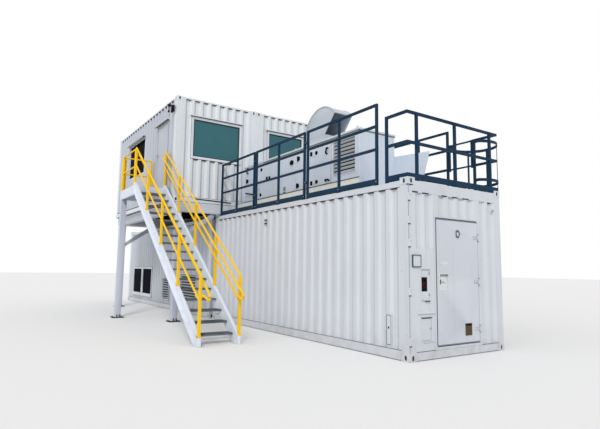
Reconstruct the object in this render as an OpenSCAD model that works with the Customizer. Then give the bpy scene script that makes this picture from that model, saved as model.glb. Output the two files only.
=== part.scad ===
/* [Containers] */
// Width of every container module
box_w = 2438; // [2200:1:2600]
// Height of every container module
box_h = 2896; // [2750:1:3100]
// Length of the near ground container
front_l = 7315; // [7000:1:9125]
// Length of the rear ground container
rear_l = 8534; // [7600:1:12192]
// Length of each of the two upper cabin modules
cabin_l = 6058; // [5600:1:7000]
// Open gap between the two ground containers
ground_gap = 240; // [76:1:400]
// How far the cabin stands out past the ground containers on the stair side
cabin_overhang = 1360; // [1200:1:1600]
// How far the cabin reaches over the roof of the near container
cabin_lap = 265; // [200:1:500]
// Depth of the steel beams under the cabin
beam_h = 260; // [200:1:360]
// Open joint between the two cabin modules
module_gap = 10; // [4:1:30]

/* [Container frames] */
// Length of a corner casting along the container
casting_l = 178; // [170:1:190]
// Width of a corner casting across the container
casting_w = 162; // [155:1:175]
// Height of a corner casting
casting_h = 118; // [110:1:130]
// Long axis of the oval hole in a casting
casting_slot_l = 80; // [60:1:90]
// Width of the oval hole in a casting
casting_slot_w = 52; // [40:1:56]
// Depth of the pocket behind the oval hole
casting_slot_d = 34; // [10:1:50]
// Step from the casting faces back to the posts and rails
frame_inset = 6; // [2:1:12]
// Thickness of the rails between the corners
rail_t = 60; // [40:1:75]
// Clearance of the bottom rails above the ground
rail_lift = 12; // [5:1:30]
// Top of the bottom side rails
side_rail_top = 160; // [130:1:220]
// Top of the end sills
end_sill_top = 140; // [120:1:200]
// Drop from the casting tops to the top rails of a ground container
rail_drop = 50; // [6:1:60]
// Depth of the top side rails of a ground container
top_rail_h = 100; // [60:1:140]
// Depth of the end headers of a ground container
header_h = 190; // [120:1:220]
// Depth of the top rails and headers of a cabin module
cabin_rail_h = 45; // [30:1:90]

/* [Walls, floors and roofs] */
// Total thickness of a lined wall
wall_t = 75; // [75:1:90]
// Depth of the corrugations
rib_d = 36; // [20:1:45]
// Pitch of the side wall corrugations
side_pitch = 278; // [240:1:320]
// Pitch of the end wall corrugations
end_pitch = 250; // [220:1:280]
// Width of the flat at the bottom of a corrugation
rib_flat = 70; // [50:1:90]
// Width of the slope at each side of a corrugation
rib_slope = 60; // [40:1:70]
// Pitch of the roof corrugations
roof_pitch = 209; // [180:1:260]
// Depth of the roof corrugations
roof_rib_d = 20; // [10:1:25]
// Total thickness of an insulated roof
roof_t = 60; // [45:1:80]
// Drop from the top rails to the roof sheet
roof_drop = 10; // [4:1:20]
// Thickness of a floor deck
floor_t = 40; // [28:1:60]
// Height of the floor deck's top in a ground container
floor_z = 172; // [165:1:260]
// Depth of the floor bearers
bearer_h = 90; // [60:1:110]
// Height of the cabin floor above the cabin's underside
cabin_floor_z = 330; // [250:1:380]

/* [Ground door] */
// Height of the door leaf
door_h = 2035; // [1950:1:2100]
// Thickness of the door leaf
door_t = 58; // [45:1:58]
// Left edge of the door leaf from the container's near corner
door_x = 655; // [620:1:760]
// Right edge of the door leaf from the container's far corner
door_right = 703; // [650:1:760]
// Underside of the door leaf
door_z = 215; // [200:1:260]
// Gap between the leaf and its frame
door_gap = 8; // [8:0.5:10]
// Width of the door frame
jamb_w = 49; // [40:1:60]
// Width of the stop behind the leaf
stop_w = 16; // [10:1:25]
// Radius of a hinge pin
pin_r = 8; // [6:0.5:10]
// Running clearance of a hinge knuckle on its pin
pin_clear = 0.08; // [0.05:0.01:0.1]
// Outer radius of a hinge knuckle
knuckle_r = 14; // [12:0.5:16]
// Length of a hinge knuckle
knuckle_l = 60; // [50:1:80]
// Distance of the hinge axis in front of the door's face
hinge_out = 20; // [19:0.5:24]
// Length of a hinge strap
strap_l = 150; // [100:1:200]

/* [Stair] */
// Width over the two stringers
stair_w = 850; // [750:1:1000]
// Gap between the inner stringer and the cabin wall
stair_gap = 40; // [20:1:80]
// Height of the landing deck above the cabin's underside
deck_up = 394; // [385:1:450]
// Number of risers
risers = 18; // [16:1:20]
// Going of one step
going = 264; // [240:1:290]
// Depth of a stringer
stringer_d = 250; // [220:1:280]
// Flange width of a stringer
stringer_w = 66; // [55:1:80]
// Web thickness of a stringer
stringer_web = 10; // [6:1:14]
// Height of a stringer's top edge above the line of nosings
stringer_up = 130; // [60:1:150]
// Thickness of a tread
tread_t = 38; // [30:1:50]
// Length of the landing along the wall
landing_l = 1340; // [1200:1:1600]
// Start of the landing past the cabin's windowed end
landing_start = 530; // [300:1:700]
// Depth of the landing's edge channels
fascia_h = 250; // [180:1:280]

/* [Handrails] */
// Side of the square posts
post_s = 50; // [40:1:60]
// Diameter of the round handrails
rail_d = 42; // [34:1:48]
// Height of the stair's top rail above the stringer at the foot
rail_foot_h = 1080; // [950:1:1150]
// Height of the stair's top rail above the stringer at the head
rail_head_h = 930; // [850:1:1150]
// Height of the landing guard
landing_guard_h = 980; // [900:1:1150]

/* [Roof guards] */
// Height of the long guards above the container top
guard_tall_h = 1405; // [1100:1:1450]
// Height of the end guard above the container top
guard_low_h = 1105; // [1000:1:1200]
// Side of the guard bars
guard_s = 45; // [38:1:55]
// Height of the toe channel
toe_h = 100; // [80:1:125]
// Height of the feet under the toe channel
toe_lift = 18; // [5:1:30]

/* [Roof unit] */
// Width of the equipment housing on the roof
unit_w = 960; // [800:1:1100]
// Distance from the far end of the equipment housing to the cabin
unit_back = 475; // [300:1:900]
// Height of the equipment housing with its base
unit_h = 1370; // [1150:1:1450]
// Distance of the housing from the stair side of the roof
unit_x = 500; // [400:1:700]
// Distance of the housing from the door end of the roof
unit_y = 1735; // [1500:1:2000]
// Thickness of the screen beside the housing
screen_t = 24; // [12:1:40]
// Outer radius of the curved discharge hood
hood_r = 640; // [500:1:700]
// Width of the discharge hood
hood_w = 520; // [400:1:600]
// Plate thickness of the discharge hood
hood_t = 22; // [12:1:30]

/* [Hidden] */

white = [0.86, 0.87, 0.89];
slate = [0.12, 0.22, 0.32];
yellow = [0.95, 0.72, 0.08];
dark = [0.1, 0.1, 0.11];
teal = [0.2, 0.42, 0.47];
grey = [0.45, 0.46, 0.48];
red = [0.7, 0.08, 0.08];
galv = [0.3, 0.31, 0.33];

// Places of the modules, measured from the near bottom corner of the front container
rear_y = front_l + ground_gap;
cabin_x = -cabin_overhang;
cabin_y = front_l - cabin_lap;
cabin_z = box_h + beam_h;
cabin_top = cabin_z + box_h;
cabin_end = cabin_y + cabin_l;
rib_run = rib_flat + 2 * rib_slope;
skin_in = frame_inset + 2;
jamb_t = skin_in + wall_t;
cabin_w = 2 * box_w + module_gap;
wall_top = box_h - rail_drop - top_rail_h;
end_top = box_h - rail_drop - header_h;
cabin_drop = 10;
cabin_wall_top = box_h - cabin_drop - cabin_rail_h;
cabin_edge = skin_in + wall_t;

// Legs under the overhanging sides of the cabin
leg_s = 150;
leg_inset = 190;
plate_s = 300;
plate_t = 20;
leg_in_x = cabin_x + leg_inset;
leg_out_x = cabin_x + cabin_w - leg_inset;
leg_near_y = cabin_y + 100;
leg_far_y = cabin_end - 360;
beam_w = 220;
beam_flange = 18;
beam_web = 14;

// Stair and landing
stair_in = cabin_x - stair_gap;
stair_out = stair_in - stair_w;
deck_z = cabin_z + deck_up;
landing_y = cabin_y + landing_start;
landing_end = landing_y + landing_l;
rise = deck_z / risers;
slope = rise / going;
incline = atan(slope);
nose_y = landing_y - risers * going;
foot_y = nose_y + 52;
drop = stringer_d / cos(incline);
outer_leg_x = stair_out + leg_s / 2;
outer_leg_y = landing_end - leg_s / 2;
fascia_t = 60;
deck_t = 32;

// Door and hinges
door_w = box_w - door_x - door_right;
frame_x0 = door_x - door_gap - jamb_w;
frame_x1 = door_x + door_w + door_gap + jamb_w;
frame_z0 = end_sill_top;
frame_z1 = door_z + door_h + door_gap + jamb_w;
hinge_x = door_x + door_w + door_gap / 2;
hinge_z = [425, 1225, 1990];
lug_l = 23;
lug_gap = 2;
latch_x = door_x + 65;
latch_z = 1100;
latch_w = 220;
latch_h = 250;
latch_d = 42;
ring_in = 530;
ring_up = 1815;
vent_x = door_x + door_w - 400;
vent_z = 320;
vent_w = 190;
vent_h = 210;

// Wall openings
side_window_in = 2920;
side_hole_y0 = cabin_y + side_window_in;
side_hole_w = 1720;
window_up = 1214;
window_z = cabin_z + window_up;
window_h = 1170;
window_1_in = 438;
window_1_out = 468;
window_2_in = 387;
window_2_out = 731;
window_1_x = cabin_x + window_1_in;
window_1_w = box_w - window_1_in - window_1_out;
window_2_x = cabin_x + box_w + module_gap + window_2_in;
window_2_w = box_w - window_2_in - window_2_out;
cabin_door_in = 640;
cabin_door_y = cabin_y + cabin_door_in;
cabin_door_w = 930;
cabin_door_z = deck_z;
cabin_door_h = 1950;
rear_window_in = 5395;
rear_window_y = rear_y + rear_window_in;
rear_window_w = 2500;
rear_window_z = 330;
rear_window_h = 1080;
grille_in = 1045;
grille_y = rear_y + grille_in;
grille_w = 1380;
grille_z = 400;
grille_h = 830;
rear_louvre_in = 3445;
louvre_y = rear_y + rear_louvre_in;
louvre_w = 740;
louvre_z = 280;
louvre_h = 800;

// Plan extents, which set the origin at the middle of the footprint
x_min = outer_leg_x - plate_s / 2;
x_max = cabin_x + cabin_w;
y_min = -hinge_out - knuckle_r;
y_max = rear_y + rear_l;
origin_x = (x_min + x_max) / 2;
origin_y = (y_min + y_max) / 2;

module placed() {
    translate([-origin_x, -origin_y, 0]) children();
}

// Container frames

module oval(l, w) {
    square([l - w, w], center = true);
    for (s = [-1, 1])
        translate([s * (l - w) / 2, 0]) circle(d = w, $fn = 32);
}

module casting() {
    difference() {
        cube([casting_w, casting_l, casting_h]);
        translate([-1, casting_l / 2, casting_h / 2])
            rotate([90, 90, 90])
                linear_extrude(casting_slot_d + 1) oval(casting_slot_l, casting_slot_w);
        translate([casting_w / 2, casting_slot_d, casting_h / 2])
            rotate([90, 90, 0])
                linear_extrude(casting_slot_d + 1) oval(casting_slot_l, casting_slot_w);
    }
}

module corner(h) {
    casting();
    translate([frame_inset, frame_inset, casting_h])
        cube([casting_w - frame_inset, casting_l - frame_inset, h - 2 * casting_h]);
    translate([0, 0, h - casting_h]) casting();
}

module corner_posts(l, w, h) {
    for (sx = [0, 1])
        for (sy = [0, 1])
            translate([sx * w, sy * l, 0])
                mirror([sx, 0, 0])
                    mirror([0, sy, 0])
                        corner(h);
}

module frame_rails(l, w, top, side_h, end_h, top_t) {
    side_l = l - 2 * casting_l;
    end_l = w - 2 * casting_w;
    for (s = [0, 1]) {
        translate([s * w, 0, 0]) mirror([s, 0, 0]) {
            translate([frame_inset, casting_l, rail_lift])
                cube([rail_t, side_l, side_rail_top - rail_lift]);
            translate([frame_inset, casting_l, top - side_h])
                cube([top_t, side_l, side_h]);
        }
        translate([0, s * l, 0]) mirror([0, s, 0]) {
            translate([casting_w, frame_inset, rail_lift])
                cube([end_l, rail_t, end_sill_top - rail_lift]);
            translate([casting_w, frame_inset, top - end_h])
                cube([end_l, top_t, end_h]);
        }
    }
}

module ground_rails(l) {
    frame_rails(l, box_w, box_h - rail_drop, top_rail_h, header_h, rail_t);
}

// Corrugated sheets: the outer face is a row of trapezoid hollows, the inner face is flat

function rib_points(l, pitch, depth) =
    let (n = floor(l / pitch), start = (l - n * pitch) / 2)
    [for (i = [0:n - 1])
        let (c = start + (i + 0.5) * pitch)
        for (p = [[-rib_run / 2, 0], [-rib_flat / 2, depth], [rib_flat / 2, depth], [rib_run / 2, 0]])
            [c + p[0], p[1]]];

function sheet_outline(l, pitch, depth, t) =
    concat([[0, 0]], rib_points(l, pitch, depth), [[l, 0], [l, t], [0, t]]);

module end_sheet(l, h, pitch = end_pitch) {
    linear_extrude(h)
        polygon(sheet_outline(l, pitch, rib_d, wall_t));
}

module side_sheet(l, h) {
    linear_extrude(h)
        polygon([for (p = sheet_outline(l, side_pitch, rib_d, wall_t)) [p[1], p[0]]]);
}

module side_wall(l, top) {
    translate([skin_in, casting_l, side_rail_top])
        side_sheet(l - 2 * casting_l, top - side_rail_top);
}

module end_wall(top) {
    translate([casting_w, skin_in, end_sill_top])
        end_sheet(box_w - 2 * casting_w, top - end_sill_top);
}

module far_side() {
    translate([box_w, 0, 0]) mirror([1, 0, 0]) children();
}

module far_end(l) {
    translate([0, l, 0]) mirror([0, 1, 0]) children();
}

// Space taken by the four corner posts
module corner_spaces(l, w) {
    for (x = [0, w - casting_w])
        for (y = [0, l - casting_l])
            translate([x, y, -1]) cube([casting_w, casting_l, box_h + 2]);
}

module roof_sheet(l, w, rail_top, edge) {
    span = l - 2 * edge;
    difference() {
        translate([edge, edge, rail_top - roof_drop])
            rotate([90, 0, 90])
                linear_extrude(w - 2 * edge)
                    polygon([for (p = sheet_outline(span, roof_pitch, roof_rib_d, roof_t)) [p[0], -p[1]]]);
        corner_spaces(l, w);
    }
}

module ground_roof(l) {
    roof_sheet(l, box_w, box_h - rail_drop, frame_inset + rail_t);
}

module floor_deck(l, w, top) {
    edge = skin_in + wall_t;
    reach = frame_inset + rail_t;
    bearers = floor(l / 600);
    bearer_top = min(top - floor_t, side_rail_top - 10);
    difference() {
        translate([edge, edge, top - floor_t])
            cube([w - 2 * edge, l - 2 * edge, floor_t]);
        corner_spaces(l, w);
    }
    for (i = [1:bearers - 1])
        translate([0, i * l / bearers - 25, bearer_top - bearer_h]) {
            translate([reach, 0, 0]) cube([w - 2 * reach, 50, bearer_h]);
            translate([edge, 0, 0]) cube([w - 2 * edge, 50, top - floor_t - bearer_top + bearer_h]);
        }
}

// Near ground container

module front_rails() {
    color(white) placed() ground_rails(front_l);
}

module front_corner_posts() {
    color(white) placed() corner_posts(front_l, box_w, box_h);
}

module front_floor() {
    color(grey) placed() floor_deck(front_l, box_w, floor_z);
}

module front_roof() {
    color(white) placed() ground_roof(front_l);
}

module front_left_wall() {
    color(white) placed() side_wall(front_l, wall_top);
}

module front_blank_walls() {
    color(white) placed() {
        far_side() side_wall(front_l, wall_top);
        far_end(front_l) end_wall(end_top);
    }
}

// The door end has a flat lower part beside the door and corrugations above it

flat_top = 1760;

module end_panel_left() {
    color(white) placed() {
        w = frame_x0 - casting_w;
        difference() {
            translate([casting_w, skin_in, end_sill_top])
                cube([w, wall_t, flat_top - end_sill_top]);
            translate([cabinet_x, -1, cabinet_z])
                cube([cabinet_w, skin_in + wall_t + 2, cabinet_h]);
            translate([hatch_x, -1, hatch_z])
                cube([hatch_w, skin_in + wall_t + 2, hatch_h]);
        }
        translate([casting_w, skin_in, flat_top])
            end_sheet(w, end_top - flat_top, w / 2);
    }
}

module end_panel_right() {
    color(white) placed()
        translate([frame_x1, skin_in, end_sill_top])
            end_sheet(box_w - casting_w - frame_x1, end_top - end_sill_top,
                (box_w - casting_w - frame_x1) / 2);
}

module end_panel_over() {
    color(white) placed()
        translate([frame_x0, skin_in, frame_z1])
            end_sheet(frame_x1 - frame_x0, end_top - frame_z1);
}

module front_door_frame() {
    color(white) placed() {
        difference() {
            translate([frame_x0, 0, frame_z0])
                cube([frame_x1 - frame_x0, jamb_t, frame_z1 - frame_z0]);
            translate([door_x - door_gap, -1, door_z - door_gap])
                cube([door_w + 2 * door_gap, door_t + door_gap + 1, door_h + 2 * door_gap]);
            translate([door_x + stop_w, 0, door_z + stop_w])
                cube([door_w - 2 * stop_w, jamb_t + 1, door_h - 2 * stop_w]);
        }
        for (z = hinge_z)
            translate([hinge_x, -hinge_out, z]) fixed_hinge();
    }
}

module fixed_hinge() {
    reach = knuckle_l / 2 + lug_gap;
    cylinder(r = pin_r, h = 2 * (reach + lug_l), center = true, $fn = 48);
    for (s = [-1, 1])
        translate([0, 0, s * (reach + lug_l / 2)]) {
            cylinder(r = knuckle_r, h = lug_l, center = true, $fn = 48);
            translate([0, 0, -lug_l / 2])
                cube([knuckle_r, hinge_out + 1, lug_l]);
        }
}

module moving_hinge() {
    difference() {
        union() {
            cylinder(r = knuckle_r, h = knuckle_l, center = true, $fn = 48);
            translate([-knuckle_r, 0, -knuckle_l / 2])
                cube([knuckle_r - door_gap / 2, hinge_out + 1, knuckle_l]);
            translate([-strap_l, hinge_out - 6, -knuckle_l / 2])
                cube([strap_l - door_gap / 2, 7, knuckle_l]);
        }
        cylinder(r = pin_r + pin_clear, h = knuckle_l + 2, center = true, $fn = 48);
    }
}

module front_door() {
    color(white) placed() {
        difference() {
            translate([door_x, 0, door_z]) cube([door_w, door_t, door_h]);
            translate([latch_x, -1, latch_z]) cube([latch_w, latch_d + 1, latch_h]);
            translate([vent_x, -1, vent_z]) cube([vent_w, door_t + 2, vent_h]);
        }
        for (z = hinge_z)
            translate([hinge_x, -hinge_out, z]) moving_hinge();
        translate([door_x + ring_in, 0, door_z + ring_up])
            rotate([90, 0, 0])
                difference() {
                    cylinder(d = 100, h = 8, $fn = 48);
                    translate([0, 0, 1]) cylinder(d = 56, h = 8, $fn = 48);
                }
    }
}

module front_door_latch() {
    pan_t = 6;
    color(grey) placed() {
        difference() {
            translate([latch_x, 0, latch_z]) cube([latch_w, latch_d, latch_h]);
            translate([latch_x + pan_t, -1, latch_z + pan_t])
                cube([latch_w - 2 * pan_t, latch_d - pan_t + 1, latch_h - 2 * pan_t]);
        }
        translate([latch_x + 40, 14, latch_z + 60])
            cube([28, 10, latch_h - 120]);
        translate([latch_x + 48, 20, latch_z + latch_h / 2 - 15])
            cube([12, latch_d - 22, 30]);
    }
}

module front_door_vent() {
    rim = 12;
    color("saddlebrown") placed() {
        translate([vent_x, 10, vent_z]) cube([vent_w, 20, vent_h]);
        difference() {
            translate([vent_x - rim, -4, vent_z - rim])
                cube([vent_w + 2 * rim, 4, vent_h + 2 * rim]);
            translate([vent_x, -5, vent_z]) cube([vent_w, 6, vent_h]);
        }
        difference() {
            translate([vent_x, -4, vent_z]) cube([vent_w, 14, vent_h]);
            translate([vent_x + rim, -5, vent_z + rim])
                cube([vent_w - 2 * rim, 20, vent_h - 2 * rim]);
        }
    }
}

cabinet_x = 276;
cabinet_z = 920;
cabinet_w = 222;
cabinet_h = 510;
cabinet_d = 190;
cabinet_t = 8;
hatch_x = 262;
hatch_z = 290;
hatch_w = 268;
hatch_h = 390;
box_x = 76;
box_z = 1460;
box_s = 190;

// Recessed cabinet whose front plate has a window
module extinguisher_cabinet() {
    front_in = 16;
    front_t = 6;
    color(white) placed()
        translate([cabinet_x, 0, cabinet_z]) {
            difference() {
                cube([cabinet_w, cabinet_d, cabinet_h]);
                translate([cabinet_t, -1, cabinet_t])
                    cube([cabinet_w - 2 * cabinet_t, cabinet_d - cabinet_t + 1, cabinet_h - 2 * cabinet_t]);
            }
            difference() {
                translate([cabinet_t, front_in, cabinet_t])
                    cube([cabinet_w - 2 * cabinet_t, front_t, cabinet_h - 2 * cabinet_t]);
                translate([22, front_in - 1, 160])
                    cube([130, front_t + 2, 215]);
            }
        }
}

module extinguisher() {
    bottle_r = 60;
    bottle_h = 330;
    color(red) placed()
        translate([cabinet_x + cabinet_w / 2, cabinet_d / 2, cabinet_z + cabinet_t]) {
            cylinder(r = bottle_r, h = bottle_h, $fn = 48);
            translate([0, 0, bottle_h]) cylinder(r = 22, h = 60, $fn = 32);
            translate([-12, -60, bottle_h + 50]) cube([24, 90, 14]);
        }
}

module end_hatches() {
    lip = 14;
    color(white) placed() {
        difference() {
            translate([hatch_x, 0, hatch_z]) cube([hatch_w, skin_in + wall_t, hatch_h]);
            translate([hatch_x + lip, -1, hatch_z + lip])
                cube([hatch_w - 2 * lip, 31, hatch_h - 2 * lip]);
        }
        difference() {
            translate([box_x, -14, box_z]) cube([box_s, 14 + frame_inset, box_s]);
            translate([box_x + lip, -15, box_z + lip])
                cube([box_s - 2 * lip, 9, box_s - 2 * lip]);
        }
    }
}

// Rear ground container

module at_rear() {
    translate([0, rear_y, 0]) children();
}

module rear_rails() {
    color(white) placed() at_rear() ground_rails(rear_l);
}

module rear_corner_posts() {
    color(white) placed() at_rear() corner_posts(rear_l, box_w, box_h);
}

module rear_floor() {
    color(grey) placed() at_rear() floor_deck(rear_l, box_w, floor_z);
}

module rear_roof() {
    color(white) placed() at_rear() ground_roof(rear_l);
}

module side_hole(y, z, w, h) {
    translate([-1, y, z]) cube([skin_in + wall_t + 2, w, h]);
}

module rear_left_wall() {
    color(white) placed()
        difference() {
            at_rear() side_wall(rear_l, wall_top);
            side_hole(rear_window_y, rear_window_z, rear_window_w, rear_window_h);
            side_hole(grille_y, grille_z, grille_w, grille_h);
            side_hole(louvre_y, louvre_z, louvre_w, louvre_h);
        }
}

module rear_blank_walls() {
    color(white) placed() at_rear() {
        far_side() side_wall(rear_l, wall_top);
        end_wall(end_top);
        far_end(rear_l) end_wall(end_top);
    }
}

module side_frame(y, z, w, h, bar, proud) {
    translate([skin_in - proud, y, z])
        difference() {
            cube([wall_t + proud, w, h]);
            translate([-1, bar, bar]) cube([wall_t + proud + 2, w - 2 * bar, h - 2 * bar]);
        }
}

pane_bar = 70;
mullion_w = 180;
pane_t = 24;

module rear_window_frame() {
    color(white) placed() {
        side_frame(rear_window_y, rear_window_z, rear_window_w, rear_window_h, pane_bar, 6);
        translate([skin_in - 6, rear_window_y + (rear_window_w - mullion_w) / 2, rear_window_z + pane_bar])
            cube([wall_t + 6, mullion_w, rear_window_h - 2 * pane_bar]);
    }
}

module rear_window_glass() {
    pane_w = (rear_window_w - mullion_w) / 2 - pane_bar;
    color(dark) placed()
        for (y = [rear_window_y + pane_bar, rear_window_y + (rear_window_w + mullion_w) / 2])
            translate([skin_in + 30, y, rear_window_z + pane_bar])
                cube([pane_t, pane_w, rear_window_h - 2 * pane_bar]);
}

module slats(w, h, n, depth, blade) {
    for (i = [0:n - 1])
        translate([0, 0, (i + 0.5) * h / n])
            rotate([0, 45, 0])
                translate([-depth / 2, 0, -blade / 2])
                    cube([depth, w, blade]);
}

module side_louvre(y, z, w, h, n) {
    bar = 40;
    side_frame(y, z, w, h, bar, 6);
    translate([skin_in + 24, y + bar / 2, z + bar])
        slats(w - bar, h - 2 * bar, n, 50, 6);
    translate([skin_in + wall_t - 8, y + bar / 2, z + bar / 2])
        cube([8, w - bar, h - bar]);
}

module rear_louvres() {
    color(white) placed() {
        side_louvre(grille_y, grille_z, grille_w, grille_h, 9);
        side_louvre(louvre_y, louvre_z, louvre_w, louvre_h, 9);
    }
}

// Upper cabin of two modules side by side

module at_cabin() {
    translate([cabin_x, cabin_y, cabin_z]) children();
}

module both_modules() {
    for (i = [0, 1])
        translate([cabin_x + i * (box_w + module_gap), cabin_y, cabin_z]) children();
}

module i_section() {
    translate([-beam_w / 2, 0]) square([beam_w, beam_flange]);
    translate([-beam_w / 2, beam_h - beam_flange]) square([beam_w, beam_flange]);
    translate([-beam_web / 2, 0]) square([beam_web, beam_h]);
}

module cabin_beams() {
    cross_w = 200;
    color(white) placed() {
        for (x = [leg_in_x, cabin_x + cabin_w / 2, leg_out_x])
            translate([x, cabin_y + 1, box_h])
                rotate([90, 0, 180])
                    linear_extrude(cabin_l - 2) i_section();
        for (y = [cabin_y, leg_far_y - cross_w / 2, cabin_end - cross_w])
            translate([cabin_x + 80, y, box_h])
                cube([cabin_w - 160, cross_w, beam_h]);
        for (x = [frame_inset, box_w - frame_inset - rail_t])
            for (y = [leg_far_y - cross_w / 2, cabin_end - cross_w])
                translate([x, y, box_h - rail_drop])
                    cube([rail_t, cross_w, rail_drop]);
    }
}

module cabin_rails() {
    color(white) placed() both_modules()
        frame_rails(cabin_l, box_w, box_h - cabin_drop, cabin_rail_h, cabin_rail_h, cabin_edge - frame_inset);
}

module cabin_corner_posts() {
    color(white) placed() both_modules() corner_posts(cabin_l, box_w, box_h);
}

module cabin_floor() {
    color(grey) placed() both_modules() floor_deck(cabin_l, box_w, cabin_floor_z);
}

module cabin_roof() {
    color(white) placed() both_modules() roof_sheet(cabin_l, box_w, box_h - cabin_drop, cabin_edge);
}

module cabin_left_wall() {
    color(white) placed()
        difference() {
            at_cabin() side_wall(cabin_l, cabin_wall_top);
            translate([cabin_x, 0, 0]) {
                side_hole(side_hole_y0, window_z, side_hole_w, window_h);
                side_hole(cabin_door_y, cabin_door_z, cabin_door_w, cabin_door_h);
            }
        }
}

module end_hole(x, w) {
    translate([x, cabin_y - 1, window_z]) cube([w, skin_in + wall_t + 2, window_h]);
}

module cabin_front_wall() {
    color(white) placed()
        difference() {
            both_modules() end_wall(cabin_wall_top);
            end_hole(window_1_x, window_1_w);
            end_hole(window_2_x, window_2_w);
        }
}

module cabin_blank_walls() {
    color(white) placed() {
        translate([box_w + module_gap, 0, 0]) at_cabin() far_side() side_wall(cabin_l, cabin_wall_top);
        both_modules() far_end(cabin_l) end_wall(cabin_wall_top);
    }
}

casing_bar = 66;
reveal_bar = 40;
reveal_d = 32;

module end_frame(x, w) {
    translate([x, cabin_y - 4, window_z])
        difference() {
            cube([w, skin_in + wall_t + 4, window_h]);
            translate([casing_bar, -1, casing_bar])
                cube([w - 2 * casing_bar, skin_in + wall_t + 6, window_h - 2 * casing_bar]);
        }
}

module cabin_window_frames() {
    color(white) placed() {
        end_frame(window_1_x, window_1_w);
        end_frame(window_2_x, window_2_w);
        translate([cabin_x, 0, 0])
            side_frame(side_hole_y0, window_z, side_hole_w, window_h, reveal_bar, -reveal_d);
    }
}

module end_pane(x, w) {
    translate([x + casing_bar, cabin_y + 30, window_z + casing_bar])
        cube([w - 2 * casing_bar, pane_t, window_h - 2 * casing_bar]);
}

module cabin_glass() {
    color(teal) placed() {
        end_pane(window_1_x, window_1_w);
        end_pane(window_2_x, window_2_w);
    }
}

module cabin_side_glass() {
    color(dark) placed()
        translate([cabin_x + skin_in + reveal_d + 12, side_hole_y0 + reveal_bar, window_z + reveal_bar])
            cube([pane_t, side_hole_w - 2 * reveal_bar, window_h - 2 * reveal_bar]);
}

module cabin_door() {
    color(white) placed()
        translate([cabin_x, 0, 0]) {
            side_frame(cabin_door_y, cabin_door_z, cabin_door_w, cabin_door_h, 45, 10);
            translate([skin_in, cabin_door_y + 45, cabin_door_z + 45])
                cube([45, cabin_door_w - 90, cabin_door_h - 90]);
        }
}

module hood_profile(reach, fall) {
    polygon([[0, 0], [0, 60], [-reach, 60 - fall], [-reach, 40 - fall], [-8, 34], [-8, 0]]);
}

module cabin_rain_hoods() {
    top = window_z + window_h;
    color(white) placed() {
        for (w = [[side_hole_y0 - 50, side_hole_w + 110, top],
                [cabin_door_y - 60, cabin_door_w + 120, cabin_door_z + cabin_door_h]])
            translate([cabin_x + skin_in, w[0] + w[1], w[2]])
                rotate([90, 0, 0])
                    linear_extrude(w[1]) hood_profile(80, 25);
        for (w = [[window_1_x - 45, window_1_w + 60], [window_2_x - 45, window_2_w + 60]])
            translate([w[0], cabin_y + skin_in, top])
                rotate([90, 0, 90])
                    linear_extrude(w[1]) hood_profile(60, 30);
    }
}

module floodlight() {
    y = cabin_y + 640;
    z = cabin_z + box_h - 107;
    arm_l = 500;
    arm_s = 40;
    color(dark) placed()
        translate([cabin_x, y, z]) {
            translate([-12, -110, -50]) cube([12 + skin_in, 160, 90]);
            translate([-50, 0, 0])
                rotate([20, 0, 0])
                    translate([0, -arm_l, -arm_s / 2]) cube([arm_s, arm_l, arm_s]);
            translate([-80, -570, -385]) cube([60, 190, 225]);
        }
}

// Stair

module side_plate(points, t) {
    rotate([90, 0, 90]) linear_extrude(t) polygon(points);
}

function nose_z(y) = (y - nose_y) * slope;

module stringer_outline() {
    top_y = nose_y + (deck_z + 60 - stringer_up) / slope;
    polygon([
        [foot_y, 0],
        [foot_y, nose_z(foot_y) + stringer_up],
        [top_y, deck_z + 60],
        [landing_y, deck_z + 60],
        [landing_y, nose_z(landing_y) + stringer_up - drop],
        [nose_y + (drop - stringer_up) / slope, 0]
    ]);
}

module stringer_pocket() {
    skin = 14 / cos(incline);
    polygon([
        [foot_y + 60, nose_z(foot_y + 60) + stringer_up - skin],
        [landing_y - 60, nose_z(landing_y - 60) + stringer_up - skin],
        [landing_y - 60, nose_z(landing_y - 60) + stringer_up - drop + skin],
        [nose_y + (drop - stringer_up) / slope + 20, 20 * slope + skin],
        [foot_y + 60, 30]
    ]);
}

module stringer() {
    difference() {
        rotate([90, 0, 90]) linear_extrude(stringer_w) stringer_outline();
        translate([-1, 0, 0])
            rotate([90, 0, 90])
                linear_extrude(stringer_w - stringer_web + 1) stringer_pocket();
    }
}

module stair_stringers() {
    color(white) placed() {
        translate([stair_out, 0, 0]) stringer();
        translate([stair_in, 0, 0]) mirror([1, 0, 0]) stringer();
    }
}

module stair_treads() {
    color(galv) placed()
        for (i = [1:risers - 1])
            translate([stair_out + stringer_w, nose_y + i * going, i * rise - tread_t])
                cube([stair_w - 2 * stringer_w, going - 10, tread_t]);
}

module landing_frame() {
    w = cabin_x + frame_inset - stair_out;
    color(white) placed()
        difference() {
            translate([stair_out, landing_y, deck_z - fascia_h])
                cube([w, landing_l, fascia_h]);
            translate([stair_out + fascia_t, landing_y + fascia_t, deck_z - fascia_h - 1])
                cube([w - 2 * fascia_t, landing_l - 2 * fascia_t, fascia_h + 2]);
        }
}

module landing_deck() {
    w = cabin_x + frame_inset - stair_out;
    color(galv) placed()
        translate([stair_out + fascia_t, landing_y + fascia_t, deck_z - deck_t])
            cube([w - 2 * fascia_t, landing_l - 2 * fascia_t, deck_t]);
}

module leg(x, y, h) {
    translate([x - plate_s / 2, y - plate_s / 2, 0]) cube([plate_s, plate_s, plate_t]);
    translate([x - leg_s / 2, y - leg_s / 2, plate_t - 1]) cube([leg_s, leg_s, h - plate_t + 1]);
}

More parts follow.
